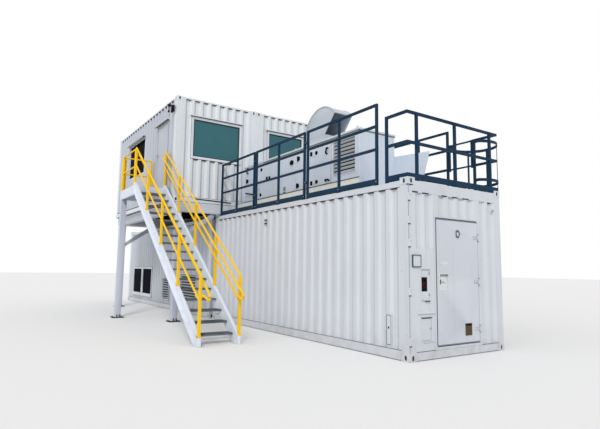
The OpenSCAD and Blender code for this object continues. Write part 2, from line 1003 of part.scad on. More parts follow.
// A brace that rises from a leg to the underside of the cabin's cross beam
module knee(x, y, dir, reach) {
    brace = 90;
    low = box_h - 766;
    translate([x, y + brace / 2, 0])
        mirror([dir < 0 ? 1 : 0, 0, 0])
            rotate([90, 0, 0])
                linear_extrude(brace)
                    polygon([
                        [leg_s / 2 - 1, low],
                        [reach, box_h - 120],
                        [reach, box_h],
                        [reach - 60, box_h],
                        [leg_s / 2 - 1, low + 130]
                    ]);
}

module support_legs() {
    color(white) placed() {
        for (y = [leg_near_y, leg_far_y]) {
            leg(leg_in_x, y, box_h);
            knee(leg_in_x, y, 1, -leg_in_x - 150);
            leg(leg_out_x, y, box_h);
            knee(leg_out_x, y, -1, leg_out_x - box_w - 20);
        }
        leg(outer_leg_x, outer_leg_y, deck_z - fascia_h);
    }
}

// Handrails

module bar(a, b, d) {
    v = b - a;
    l = norm(v);
    translate(a)
        rotate([0, acos(v[2] / l), atan2(v[1], v[0])])
            cylinder(d = d, h = l, $fn = 32);
}

module post(x, y, z, h) {
    translate([x - post_s / 2, y - post_s / 2, z]) cube([post_s, post_s, h]);
}

// Coupling that joins two rails at a bend, its axis across the rails
module coupling(p) {
    translate(p)
        rotate([0, 90, 0])
            cylinder(d = rail_d + 6, h = rail_d + 6, center = true, $fn = 32);
}

// Post whose foot is cut to the slope of the stringer
module slant_post(x, y, top) {
    h = post_s / 2;
    translate([x - h, 0, 0])
        rotate([90, 0, 90])
            linear_extrude(post_s)
                polygon([
                    [y - h, nose_z(y - h) + stringer_up],
                    [y + h, nose_z(y + h) + stringer_up],
                    [y + h, top],
                    [y - h, top]
                ]);
}

module stair_rail(x, inward) {
    y0 = foot_y + post_s / 2 + 4;
    y1 = landing_y - post_s / 2 - 4;
    base0 = nose_z(y0) + stringer_up;
    base1 = deck_z + 60;
    top0 = [x, y0, base0 + rail_foot_h];
    top1 = [x, y1, base1 + rail_head_h];
    mid0 = [x, y0, base0 + rail_foot_h * 0.56];
    mid1 = [x, y1, base1 + rail_head_h * 0.52];
    grab_in = inward * 70;
    grab_low = 150;
    tip_y = y0 - 300;
    grab_slope = (top1[2] - top0[2]) / (y1 - y0);
    grab0 = [x + grab_in, tip_y, top0[2] - grab_low - 300 * grab_slope];
    grab1 = [x + grab_in, y1, top1[2] - grab_low];
    loop0 = [x + grab_in, y0, grab0[2]];
    for (i = [0:4]) {
        y = y0 + i * (y1 - y0) / 4;
        top = top0[2] + (top1[2] - top0[2]) * i / 4;
        if (i < 4)
            slant_post(x, y, top);
        else
            post(x, y, base1, top - base1);
        bar([x, y, top - grab_low], [x + grab_in, y, top - grab_low], 20);
    }
    bar(top0, top1, rail_d);
    bar(mid0, mid1, rail_d);
    bar(grab0, grab1, rail_d);
    bar(grab0, loop0, rail_d);
    bar(loop0, [x, y0, grab0[2]], rail_d);
    for (p = [top0, top1, grab0, loop0])
        coupling(p);
}

module stair_handrails() {
    color(yellow) placed() {
        stair_rail(stair_out + post_s / 2 + 4, 1);
        stair_rail(stair_in - post_s / 2 - 4, -1);
    }
}

module landing_guard() {
    x0 = stair_out + post_s / 2 + 2;
    x1 = cabin_x - 60;
    y0 = landing_y + post_s / 2 + 2;
    y1 = landing_end - post_s / 2 - 2;
    top = deck_z + landing_guard_h;
    mid = deck_z + landing_guard_h * 0.52;
    color(yellow) placed() {
        for (p = [[x0, y0], [x0, y1 - post_s - 20], [x0, y1], [x0 + post_s + 20, y1], [x1, y1]])
            post(p[0], p[1], deck_z, landing_guard_h);
        for (z = [mid, top]) {
            bar([x0, y0, z], [x0, y1, z], rail_d);
            bar([x0, y1, z], [x1, y1, z], rail_d);
            coupling([x0, y1, z]);
        }
    }
}

// Roof guards

module square_bar_y(x, y0, y1, z) {
    translate([x - guard_s / 2, y0, z - guard_s / 2]) cube([guard_s, y1 - y0, guard_s]);
}

module square_bar_x(y, x0, x1, z) {
    translate([x0, y - guard_s / 2, z - guard_s / 2]) cube([x1 - x0, guard_s, guard_s]);
}

module square_post(x, y, z, h) {
    translate([x - guard_s / 2, y - guard_s / 2, z]) cube([guard_s, guard_s, h]);
}

guard_x = frame_inset + guard_s / 2 + 4;
panel_l = 2130;
panel_gap = 75;
near_start = 720;
far_start = 1118;
far_shift = 105;
end_back = 523;
last_end = cabin_y - 15;
guard_base = box_h - rail_drop;

// One guard panel with three posts, a top rail, two middle rails and a toe channel
module guard_panel(y0, y1) {
    half = guard_s / 2;
    for (y = [y0 + half, (y0 + y1) / 2, y1 - half])
        square_post(guard_x, y, guard_base, guard_tall_h + rail_drop);
    for (z = [590, 1000, guard_tall_h - half])
        square_bar_y(guard_x, y0, y1, box_h + z);
    translate([guard_x - half, y0, guard_base + toe_lift]) cube([guard_s, y1 - y0, toe_h]);
}

module guard_row(start, shift) {
    second = near_start + panel_l + panel_gap - shift;
    third = second + panel_l + panel_gap;
    guard_panel(start, second - panel_gap);
    guard_panel(second, second + panel_l);
    guard_panel(third, last_end);
}

module roof_guard_sides() {
    color(slate) placed() {
        guard_row(near_start, 0);
        far_side() guard_row(far_start, far_shift);
    }
}

// The toe channel passes over the corner castings
module end_toe() {
    half = guard_s / 2;
    x1 = box_w - guard_x;
    z = guard_base + toe_lift;
    difference() {
        union() {
            for (x = [guard_x, x1])
                translate([x - half, guard_x - half, z])
                    cube([guard_s, end_back - guard_x + half, toe_h]);
            translate([guard_x - half, guard_x - half, z])
                cube([x1 - guard_x + guard_s, guard_s, toe_h]);
        }
        for (x = [-1, box_w - casting_w - 2])
            translate([x, -1, z - 1])
                cube([casting_w + 3, casting_l + 3, box_h - z + 3]);
    }
}

module roof_guard_end() {
    half = guard_s / 2;
    y = guard_x;
    x1 = box_w - guard_x;
    color(slate) placed() {
        for (p = [[guard_x, end_back - half], [250, y], [1215, y], [x1 - 195, y], [x1, end_back - half]])
            square_post(p[0], p[1], guard_base, guard_low_h + rail_drop);
        for (z = [580, guard_low_h - half]) {
            square_bar_y(guard_x, y - half, end_back, box_h + z);
            square_bar_y(x1, y - half, end_back, box_h + z);
            square_bar_x(y, guard_x - half, x1 + half, box_h + z);
        }
        end_toe();
    }
}

gate_s = 30;
gate_end = far_start - 18;

// Swing gate across the way from the ladder, hung on the end guard's last post
module roof_gate() {
    x = box_w - guard_x - gate_s / 2;
    hung = end_back + 22;
    color(slate) placed() {
        for (y = [hung, gate_end - gate_s])
            translate([x, y, box_h + 540]) cube([gate_s, gate_s, guard_low_h - 540]);
        for (z = [580, guard_low_h - guard_s / 2])
            translate([x, end_back, box_h + z - gate_s / 2]) cube([gate_s, gate_end - end_back, gate_s]);
    }
}

ladder_y = 670;
ladder_w = 480;
ladder_out = 200;
ladder_low = 300;
ladder_tube = 40;
cage_r = 470;
cage_t = 10;
cage_out = 310;
cage_top = 1155;

// Hoop band of the cage, closed by a flat bar behind the stiles
module cage_hoop(z) {
    half = sqrt(cage_r * cage_r - cage_out * cage_out);
    translate([box_w + ladder_out + cage_out, ladder_y + ladder_w / 2, z])
        linear_extrude(60) {
            difference() {
                circle(r = cage_r, $fn = 64);
                circle(r = cage_r - cage_t, $fn = 64);
                translate([-cage_r - cage_out, -cage_r]) square([cage_r, 2 * cage_r]);
            }
            for (s = [-1, 1])
                translate([-cage_out, s * (half + ladder_w / 2) / 2])
                    square([cage_t, half - ladder_w / 2], center = true);
        }
}

module roof_ladder() {
    tube = ladder_tube;
    x = box_w + ladder_out;
    cage_x = x + cage_out;
    mid_y = ladder_y + ladder_w / 2;
    cage_z = box_h - 546;
    cage_end = box_h + cage_top;
    bracket_z = [0.24, 0.59, 0.9] * box_h;
    color(slate) placed() {
        for (y = [ladder_y, ladder_y + ladder_w]) {
            translate([x - tube / 2, y - tube / 2, ladder_low]) cube([tube, tube, cage_end - ladder_low]);
            for (z = bracket_z)
                translate([box_w - skin_in, y - tube / 2, z])
                    cube([ladder_out + skin_in, tube, tube]);
        }
        for (z = bracket_z)
            translate([box_w - skin_in, ladder_y - tube, z])
                cube([skin_in, ladder_w + 2 * tube, tube]);
        for (i = [0:floor((box_h - ladder_low) / 290)])
            translate([x, ladder_y, ladder_low + 80 + i * 290])
                rotate([-90, 0, 0])
                    cylinder(d = 26, h = ladder_w, $fn = 24);
        for (z = [cage_z, (cage_z + cage_end) / 2, cage_end - 60])
            cage_hoop(z);
        for (a = [-100, -50, 0, 50, 100])
            translate([cage_x, mid_y, cage_z])
                rotate([0, 0, a])
                    translate([cage_r - cage_t - 8, -20, 0])
                        cube([9, 40, cage_end - cage_z]);
    }
}

// Equipment housing on the roof

unit_z = box_h - rail_drop - roof_drop;
unit_l = cabin_y - unit_y - unit_back;
base_h = 364;
base_proud = 12;
base_end = cabin_y - 20;
cap_t = 40;
louvre_in = 105;
louvre_up = 495;
louvre_s = 745;

// Access panels along the face, each a share of the run past the louvre
panel_proud = 12;
panel_gap_w = 10;
panel_start = louvre_in + louvre_s + 55;
panel_run = unit_l - 75 - panel_start;
panel_edges = [for (share = [0, 0.155, 0.355, 0.606, 0.798, 1]) panel_start + share * panel_run];

module unit_panel(y0, y1) {
    translate([-panel_proud, y0 + panel_gap_w / 2, base_h + 22])
        cube([panel_proud + 1, y1 - y0 - panel_gap_w, unit_h - base_h - cap_t - 60]);
}

module unit_casing() {
    color(white) placed()
        translate([unit_x, unit_y, unit_z]) {
            translate([-base_proud, 0, 0])
                cube([unit_w + base_proud, base_end - unit_y, base_h]);
            difference() {
                translate([0, 0, base_h - 1]) cube([unit_w, unit_l, unit_h - base_h - cap_t + 1]);
                translate([-1, louvre_in, louvre_up]) cube([61, louvre_s, louvre_s]);
            }
            for (i = [0:len(panel_edges) - 2])
                unit_panel(panel_edges[i], panel_edges[i + 1]);
        }
}

module unit_roof() {
    lip = 18;
    color(white) placed()
        translate([unit_x - lip, unit_y - lip, unit_z + unit_h - cap_t])
            cube([unit_w + 2 * lip, unit_l + 2 * lip, cap_t]);
}

module unit_louvre() {
    color(white) placed()
        translate([unit_x, unit_y + louvre_in, unit_z + louvre_up]) {
            difference() {
                translate([-8, 0, 0]) cube([66, louvre_s, louvre_s]);
                translate([-9, 20, 20]) cube([60, louvre_s - 40, louvre_s - 40]);
            }
            translate([20, 10, 20]) slats(louvre_s - 20, louvre_s - 40, 9, 50, 6);
        }
}

// Screen plate that stands out past the housing's end, its free edge slanting
module unit_screen() {
    grip = 120;
    lead_low = 640;
    lead_top = 915;
    color(white) placed()
        translate([unit_x + unit_w, unit_y, unit_z])
            rotate([90, 0, 90])
                linear_extrude(screen_t)
                    polygon([[grip, 0], [-lead_low, 0], [-lead_top, 850], [grip, 915]]);
}

hood_back = 1565;
hood_in = 220;
hood_y = unit_y + hood_back;
hood_x = unit_x + hood_in;
hood_lip = 120;
curb_h = 230;
hood_z = unit_z + unit_h + curb_h;
mouth_angle = 139;

// Side outline: part of a circle, cut off along the slanting mouth
module hood_outline() {
    far = 2 * hood_r;
    intersection() {
        circle(r = hood_r, $fn = 96);
        polygon([
            [-hood_lip, 0], [far, 0], [far, far], [-far, far],
            [2 * hood_r * cos(mouth_angle) + hood_lip, 2 * hood_r * sin(mouth_angle)]
        ]);
    }
}

module discharge_hood() {
    inner = hood_r - hood_t;
    color(white) placed()
        translate([hood_x, hood_y, hood_z])
            rotate([90, 0, 90]) {
                for (x = [0, hood_w - hood_t])
                    translate([0, 0, x]) linear_extrude(hood_t) hood_outline();
                linear_extrude(hood_w)
                    difference() {
                        hood_outline();
                        circle(r = inner, $fn = 96);
                    }
                linear_extrude(hood_w)
                    difference() {
                        translate([-hood_lip, -curb_h]) square([hood_lip + hood_r, curb_h]);
                        translate([hood_t - hood_lip, hood_t - curb_h])
                            square([hood_lip + inner - hood_t, curb_h]);
                    }
                for (x = [0, hood_w - hood_t])
                    translate([-hood_lip, -curb_h, x])
                        cube([hood_lip + hood_r, curb_h, hood_t]);
            }
}

front_rails();
front_corner_posts();
front_floor();
front_roof();
front_left_wall();
front_blank_walls();
end_panel_left();
end_panel_right();
end_panel_over();
front_door_frame();
front_door();
front_door_latch();
front_door_vent();
extinguisher_cabinet();
extinguisher();
end_hatches();
rear_rails();
rear_corner_posts();
rear_floor();
rear_roof();
rear_left_wall();
rear_blank_walls();
rear_window_frame();
rear_window_glass();
rear_louvres();
cabin_beams();
cabin_rails();
cabin_corner_posts();
cabin_floor();
cabin_roof();
cabin_left_wall();
cabin_front_wall();
cabin_blank_walls();
cabin_window_frames();
cabin_glass();
cabin_side_glass();
cabin_door();
cabin_rain_hoods();
floodlight();
stair_stringers();
stair_treads();
landing_frame();
landing_deck();
support_legs();
stair_handrails();
landing_guard();
roof_guard_sides();
roof_guard_end();
roof_gate();
roof_ladder();
unit_casing();
unit_roof();
unit_louvre();
unit_screen();
discharge_hood();
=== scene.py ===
"""Looks of a two-storey cabin built from freight containers, with an outside stair.

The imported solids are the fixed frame. Each sub-assembly is a class that dresses its solids and adds
the small things they leave out: seals, bolts, gratings, bent rails, latches and trims. Lengths are
metres in building coordinates, whose origin is the near bottom corner of the near container: x runs
along its door end, y along its length and z up.
"""

from __future__ import annotations

import logging
import math
from dataclasses import dataclass
from enum import Enum
from typing import Sequence

import bmesh
import bpy
from mathutils import Matrix, Vector


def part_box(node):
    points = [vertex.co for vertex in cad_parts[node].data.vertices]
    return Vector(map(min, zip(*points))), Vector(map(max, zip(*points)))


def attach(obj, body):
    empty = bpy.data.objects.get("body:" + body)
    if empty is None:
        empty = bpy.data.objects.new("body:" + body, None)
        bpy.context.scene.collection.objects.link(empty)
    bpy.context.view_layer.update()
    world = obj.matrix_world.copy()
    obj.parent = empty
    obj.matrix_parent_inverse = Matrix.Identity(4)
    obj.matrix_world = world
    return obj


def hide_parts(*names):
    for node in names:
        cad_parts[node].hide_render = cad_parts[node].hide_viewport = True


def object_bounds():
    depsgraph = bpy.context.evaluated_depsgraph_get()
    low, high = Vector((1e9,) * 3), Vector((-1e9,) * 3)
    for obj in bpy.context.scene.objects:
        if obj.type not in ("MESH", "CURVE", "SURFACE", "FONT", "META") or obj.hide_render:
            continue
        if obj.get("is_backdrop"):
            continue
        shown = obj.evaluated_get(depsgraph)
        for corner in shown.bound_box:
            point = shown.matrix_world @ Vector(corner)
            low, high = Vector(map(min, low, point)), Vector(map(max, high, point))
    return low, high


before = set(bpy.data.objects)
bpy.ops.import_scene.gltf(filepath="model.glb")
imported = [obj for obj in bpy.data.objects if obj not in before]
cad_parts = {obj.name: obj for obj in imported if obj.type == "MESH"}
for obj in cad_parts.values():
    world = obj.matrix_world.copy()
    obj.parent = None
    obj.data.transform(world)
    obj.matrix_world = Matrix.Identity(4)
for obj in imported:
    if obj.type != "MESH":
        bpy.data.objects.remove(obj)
CAD_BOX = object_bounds()

log = logging.getLogger("container_cabin")

Colour = tuple[float, float, float]
Point = tuple[float, float, float]
Flat = tuple[float, float]
Rect = tuple[float, float, float, float]
Socket = bpy.types.NodeSocket
Material = bpy.types.Material
Piece = bpy.types.Object

NEAR_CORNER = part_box("front_corner_posts")[0]
ORIGIN = Vector((NEAR_CORNER.x, NEAR_CORNER.y, 0.0))


class Body(Enum):
    """Rigid bodies that a piece can ride on."""

    BUILDING = "root"
    GROUND_DOOR = "front_door"


class Axis(Enum):
    """Direction that a flat outline is drawn out along."""

    X = 0
    Y = 1
    Z = 2


class Section(Enum):
    """Cross-section of a swept bar."""

    ROUND = "round"
    FLAT = "flat"


@dataclass(frozen=True)
class Module:
    """One freight container or cabin module: its near lower left corner and its size."""

    x: float
    y: float
    z: float
    length: float
    width: float = 2.438
    height: float = 2.896

    casting_l = 0.178
    casting_w = 0.162
    casting_h = 0.118
    side_pitch = 0.278
    end_pitch = 0.25

    @property
    def right(self) -> float:
        """Returns the place of the right side."""
        return self.x + self.width

    @property
    def far(self) -> float:
        """Returns the place of the far end."""
        return self.y + self.length

    @staticmethod
    def _hollows(start: float, run: float, pitch: float) -> list[float]:
        """Places the hollows of a ribbed sheet.

        Args:
            start: Where the sheet starts.
            run: Its length.
            pitch: Spacing of the hollows.

        Returns:
            The middle of each hollow.
        """
        count = int(run / pitch)
        first = start + (run - count * pitch) / 2
        return [first + (i + 0.5) * pitch for i in range(count)]

    def side_hollows(self) -> list[float]:
        """Returns the middle of each hollow along a side wall."""
        return self._hollows(self.y + self.casting_l, self.length - 2 * self.casting_l, self.side_pitch)

    def end_hollows(self) -> list[float]:
        """Returns the middle of each hollow along an end wall."""
        return self._hollows(self.x + self.casting_w, self.width - 2 * self.casting_w, self.end_pitch)

    def shade_slot_backs(self, guide: Form) -> None:
        """Adds dark plates behind the slots of the eight castings, painted shade in their hollows.

        Args:
            guide: Form that gets the guide points.
        """
        half_l, half_w, half_h = self.casting_l / 2, self.casting_w / 2, self.casting_h / 2
        plate, skin, depth = 0.088, 0.003, 0.012
        for z in (self.z + half_h, self.z + self.height - half_h):
            for x in (self.x + depth, self.right - depth):
                for y in (self.y + half_l, self.far - half_l):
                    guide.slab((x, y, z), (skin, plate, plate))
            for y in (self.y + depth, self.far - depth):
                for x in (self.x + half_w, self.right - half_w):
                    guide.slab((x, y, z), (plate, skin, plate))


NEAR = Module(0.0, 0.0, 0.0, 7.315)
REAR = Module(0.0, 7.555, 0.0, 8.534)
CABIN_LEFT = Module(-1.36, 7.05, 3.156, 6.058)
CABIN_RIGHT = Module(1.088, 7.05, 3.156, 6.058)
GROUND_MODULES = (NEAR, REAR)
CABIN_MODULES = (CABIN_LEFT, CABIN_RIGHT)
LANDING_Z = 3.55

LEFTWARD = (-1.0, 0.0, 0.0)
FRONTWARD = (0.0, -1.0, 0.0)
UPWARD = (0.0, 0.0, 1.0)


# Finishes


class Wiring:
    """Adds and joins the nodes of one node tree."""

    def __init__(self, tree: bpy.types.NodeTree) -> None:
        """Starts on a tree, which is emptied."""
        self.tree = tree
        tree.nodes.clear()

    def feed(self, target: Socket, value: object) -> None:
        """Links a socket to an input, or sets the input to a value.

        Args:
            target: The input.
            value: What it gets.
        """
        if isinstance(value, Socket):
            self.tree.links.new(value, target)
        else:
            target.default_value = value

    def add(self, kind: str, inputs: dict | None = None, **settings: object) -> bpy.types.Node:
        """Adds one node.

        Args:
            kind: Type of the node.
            inputs: Values or sockets to put on its inputs, by name or index.
            settings: Attributes to set on the node before its inputs.

        Returns:
            The new node.
        """
        node = self.tree.nodes.new(kind)
        for name, value in settings.items():
            setattr(node, name, value)
        for key, value in (inputs or {}).items():
            self.feed(node.inputs[key], value)
        return node

    def out(self, kind: str, inputs: dict | None = None, **settings: object) -> Socket:
        """Adds one node and returns its first output."""
        return self.add(kind, inputs, **settings).outputs[0]

    def noise(self, place: Socket, scale: float, detail: float = 4.0) -> Socket:
        """Returns a soft random pattern read at a place."""
        inputs = {"Vector": place, "Scale": scale, "Detail": detail}
        return self.add("ShaderNodeTexNoise", inputs).outputs["Fac"]

    def stretch(self, place: Socket, scale: Point) -> Socket:
        """Returns a place scaled along each axis."""
        return self.out("ShaderNodeMapping", {"Vector": place, "Scale": scale})

    def part(self, place: Socket, axis: Axis) -> Socket:
        """Returns one coordinate of a place."""
        return self.add("ShaderNodeSeparateXYZ", {0: place}).outputs[axis.value]

    def span(self, value: Socket, low: float, high: float, to_low: float, to_high: float) -> Socket:
        """Returns a value carried from one range to another, held at the ends."""
        inputs = {"Value": value, "From Min": low, "From Max": high, "To Min": to_low, "To Max": to_high}
        return self.add("ShaderNodeMapRange", inputs).outputs["Result"]

    def math(self, operation: str, *values: object) -> Socket:
        """Returns the result of one operation on values or sockets."""
        return self.out("ShaderNodeMath", dict(enumerate(values)), operation=operation)

    def product(self, first: Socket, *others: object) -> Socket:
        """Multiplies a socket by values or sockets.

        Args:
            first: The socket.
            others: What it is multiplied by.

        Returns:
            The product.
        """
        for other in others:
            first = self.math("MULTIPLY", first, other)
        return first

    def bump(self, height: Socket, strength: float, distance: float, below: Socket | None = None) -> Socket:
        """Bends the surface direction over a relief.

        Args:
            height: Height of the relief.
            strength: Share of the effect.
            distance: Depth of the relief in metres.
            below: Direction over a broader relief beneath, if there is one.

        Returns:
            The direction's socket.
        """
        inputs = {"Strength": strength, "Distance": distance, "Height": height}
        if below is not None:
            inputs["Normal"] = below
        return self.out("ShaderNodeBump", inputs)

    def blend(self, share: object, first: object, second: object, mode: str = "MIX") -> Socket:
        """Returns a mix of two colours.

        Args:
            share: Share of the second colour, as a value or socket.
            first: Colour or socket that is there at share 0.
            second: Colour or socket that is there at share 1.
            mode: Way the colours mix.

        Returns:
            The mixed colour's socket.
        """
        node = self.add("ShaderNodeMix", {0: share}, data_type="RGBA", blend_type=mode)
        for index, value in ((6, first), (7, second)):
            self.feed(node.inputs[index], value if isinstance(value, Socket) else (*value[:3], 1.0))
        return node.outputs[2]


def scaled(colour: Colour, factor: float, lift: float = 0.0) -> Colour:
    """Returns a colour times a factor, lifted a little, with no part above 1."""
    return tuple(min(1.0, factor * part + lift) for part in colour)


@dataclass(frozen=True)
class Finish:
    """A material that wires its own node tree, with its name and its main colour."""

    name: str
    colour: Colour

    def build(self) -> Material:
        """Builds the material.

        Returns:
            The material.
        """
        material = bpy.data.materials.new(self.name)
        material.use_nodes = True
        wiring = Wiring(material.node_tree)
        shader = wiring.add("ShaderNodeBsdfPrincipled")
        wiring.add("ShaderNodeOutputMaterial", {"Surface": shader.outputs[0]})
        place = wiring.add("ShaderNodeTexCoord").outputs["Object"]
        for name, value in self.surface(wiring, place).items():
            wiring.feed(shader.inputs[name], value)
        return material

    def surface(self, wiring: Wiring, place: Socket) -> dict[str, object]:
        """Wires the look.

        Args:
            wiring: Wiring of the material's tree.
            place: Place on the surface.

        Returns:
            A value or socket for each input of the main shader, by name.
        """
        raise NotImplementedError


@dataclass(frozen=True)
class FoldShade:
    """Dark lines of painted shade along the fold lines of a ribbed sheet.

    The ribs follow each other along one axis, and the lines are placed from the middle of a hollow.
    The first hollow and the joint, where a second sheet begins, are in world coordinates. The shift
    is how far the hollows of the second sheet are moved on.
    """

    across: Axis
    first: float
    pitch: float
    lines: tuple[float, ...] = (-0.04, 0.04)
    strength: float = 0.35
    reach: float = 0.014
    joint: float | None = None
    shift: float = 0.0

    @classmethod
    def on_side(cls, module: Module, strength: float = 0.35) -> FoldShade:
        """Returns the painted shade at the fold lines of a module's long side."""
        return cls(Axis.Y, ORIGIN.y + module.side_hollows()[0], module.side_pitch, strength=strength)

    @classmethod
    def on_cabin_front(cls) -> FoldShade:
        """Finds the painted shade on one slope of each hollow on the front of the two cabin modules.

        Returns:
            The painted shade.
        """
        pitch = CABIN_LEFT.end_pitch
        first = ORIGIN.x + CABIN_LEFT.end_hollows()[0]
        shift = (CABIN_RIGHT.x - CABIN_LEFT.x) % pitch
        # one dark line of painted shade on the left slope of each hollow, the slope that lies in shade
        return cls(Axis.X, first, pitch, (-0.065,), 0.8, 0.022, ORIGIN.x + CABIN_RIGHT.x, shift)

    def share(self, wiring: Wiring, place: Socket) -> Socket:
        """Wires how much painted shade lies at a place.

        Args:
            wiring: Wiring of the material's tree.
            place: Place on the surface.

        Returns:
            The painted shade's share of the colour.
        """
        along = wiring.part(place, self.across)
        if self.joint is not None:
            beyond = wiring.math("GREATER_THAN", along, self.joint)
            along = wiring.math("MULTIPLY_ADD", beyond, -self.shift, along)
        painted_shade = 0.0
        for line in self.lines:
            start = 0.5 - (self.first + line) / self.pitch
            phase = wiring.math("FRACT", wiring.math("MULTIPLY_ADD", along, 1.0 / self.pitch, start))
            apart = wiring.math("ABSOLUTE", wiring.math("SUBTRACT", phase, 0.5))
            near = wiring.span(apart, 0.0, self.reach / self.pitch, self.strength, 0.0)
            painted_shade = wiring.math("MAXIMUM", near, painted_shade)
        return painted_shade


@dataclass(frozen=True)
class PaintedSteel(Finish):
    """Weathered paint on steel: drifting tone, rain streaks, mud low down, chips and painted fold shade.

    Drift, streaks, chips and splash are strengths. One colour tints the rain streaks and also the painted
    shade at the fold lines. Ripple is the depth of the waves in the sheet, and gloss the strength of its
    mirror-like reflection.
    """

    roughness: float = 0.45
    drift: float = 0.05
    streaks: float = 0.22
    grime_and_shade: Colour = (0.36, 0.34, 0.3)
    chips: float = 0.0
    splash: float = 0.0
    ripple: float = 0.05
    gloss: float = 0.5
    fold_shade: FoldShade | None = None

    mud = (0.3, 0.26, 0.21)
    rust_and_shade = (0.23, 0.11, 0.06)
    splash_height = 0.55

    def surface(self, wiring: Wiring, place: Socket) -> dict[str, object]:
        """Wires the weathered paint.

        Args:
            wiring: Wiring of the material's tree.
            place: Place on the surface.

        Returns:
            A value or socket for each input of the main shader, by name.
        """
        patches = wiring.span(wiring.noise(place, 0.9), 0.35, 0.65, 1.0 - self.drift, 1.0)
        grey = wiring.out("ShaderNodeCombineColor", {0: patches, 1: patches, 2: patches})
        colour = wiring.blend(1.0, self.colour, grey, "MULTIPLY")
        runs = wiring.noise(wiring.stretch(place, (9.0, 9.0, 0.55)), 1.0, 6.0)
        broad = wiring.span(wiring.noise(place, 0.45), 0.4, 0.62, 0.25, 1.0)
        share = wiring.product(wiring.span(runs, 0.5, 0.78, 0.0, 1.0), broad, self.streaks)
        colour = wiring.blend(share, colour, self.grime_and_shade)
        # painted shade along the fold lines, in the streak colour
        if self.fold_shade:
            colour = wiring.blend(self.fold_shade.share(wiring, place), colour, self.grime_and_shade)
        if self.splash:
            low = wiring.span(wiring.part(place, Axis.Z), 0.0, self.splash_height, 1.0, 0.0)
            spots = wiring.span(wiring.noise(place, 5.0, 6.0), 0.35, 0.7, 0.15, 1.0)
            colour = wiring.blend(wiring.product(low, spots, self.splash), colour, self.mud)
        if self.chips:
            specks = wiring.span(wiring.noise(place, 26.0, 3.0), 0.67, 0.7, 0.0, 1.0)
            where = wiring.span(wiring.noise(place, 1.7, 2.0), 0.52, 0.6, 0.0, 1.0)
            colour = wiring.blend(wiring.product(specks, where, self.chips), colour, self.rust_and_shade)
        grain = wiring.noise(place, 14.0, 5.0)
        waves = wiring.bump(wiring.noise(place, 3.5, 2.0), self.ripple * 4, 0.01)
        return {
            "Base Color": colour,
            "Roughness": wiring.span(grain, 0.3, 0.7, self.roughness - 0.08, self.roughness + 0.1),
            "Specular IOR Level": self.gloss,
            "Normal": wiring.bump(wiring.noise(place, 190.0, 2.0), 0.06, 0.002, waves),
        }


@dataclass(frozen=True)
class TintedPane(Finish):
    """Tinted glazing with a faint drift of tone."""

    alpha: float = 0.9
    gloss: float = 0.5

    def surface(self, wiring: Wiring, place: Socket) -> dict[str, object]:
        """Wires the glazing.

        Args:
            wiring: Wiring of the material's tree.
            place: Place on the surface.

        Returns:
            A value or socket for each input of the main shader, by name.
        """
        cloud = wiring.span(wiring.noise(place, 0.7, 3.0), 0.3, 0.7, 0.0, 1.0)
        film = wiring.noise(wiring.stretch(place, (5.0, 5.0, 1.0)), 2.0, 6.0)
        return {
            "Base Color": wiring.blend(cloud, scaled(self.colour, 0.78), self.colour),
            "Roughness": wiring.span(film, 0.4, 0.8, 0.04, 0.14),
            "Alpha": self.alpha,
            "Specular IOR Level": self.gloss,
        }


@dataclass(frozen=True)
class BareMetal(Finish):
    """Zinc or bare steel with dull patches and so many flakes of spangle in a metre."""

    metallic: float = 0.8
    roughness: float = 0.45
    spangle: float = 60.0

    def surface(self, wiring: Wiring, place: Socket) -> dict[str, object]:
        """Wires the metal.

        Args:
            wiring: Wiring of the material's tree.
            place: Place on the surface.

        Returns:
            A value or socket for each input of the main shader, by name.
        """
        flakes = wiring.add("ShaderNodeTexVoronoi", {"Vector": place, "Scale": self.spangle})
        tone = wiring.out("ShaderNodeSeparateColor", {0: flakes.outputs["Color"]})
        colour = wiring.blend(wiring.span(tone, 0.0, 1.0, 0.0, 0.6), self.colour, scaled(self.colour, 1.25))
        patches = wiring.span(wiring.noise(place, 7.0, 5.0), 0.42, 0.7, 0.0, 0.8)
        grain = wiring.noise(place, 30.0, 3.0)
        return {
            "Base Color": wiring.blend(patches, colour, scaled(self.colour, 0.62)),
            "Roughness": wiring.span(grain, 0.3, 0.7, self.roughness - 0.1, self.roughness + 0.15),
            "Metallic": self.metallic,
        }


@dataclass(frozen=True)
class Moulded(Finish):
    """Rubber or moulded plastics with a fine grain and a film of dust; some dark mouldings are painted
    shade.
    """

    roughness: float = 0.6
    gloss: float = 0.5

    def surface(self, wiring: Wiring, place: Socket) -> dict[str, object]:
        """Wires the dusty grain.

        Args:
            wiring: Wiring of the material's tree.
            place: Place on the surface.

        Returns:
            A value or socket for each input of the main shader, by name.
        """
        dust = wiring.span(wiring.noise(place, 6.0, 5.0), 0.45, 0.75, 0.0, 0.35)
        grain = wiring.noise(place, 20.0, 3.0)
        return {
            "Base Color": wiring.blend(dust, self.colour, scaled(self.colour, 1.3, 0.012)),
            "Roughness": wiring.span(grain, 0.3, 0.7, self.roughness - 0.08, self.roughness + 0.08),
            "Specular IOR Level": self.gloss,
            "Normal": wiring.bump(wiring.noise(place, 400.0, 2.0), 0.15, 0.001),
        }


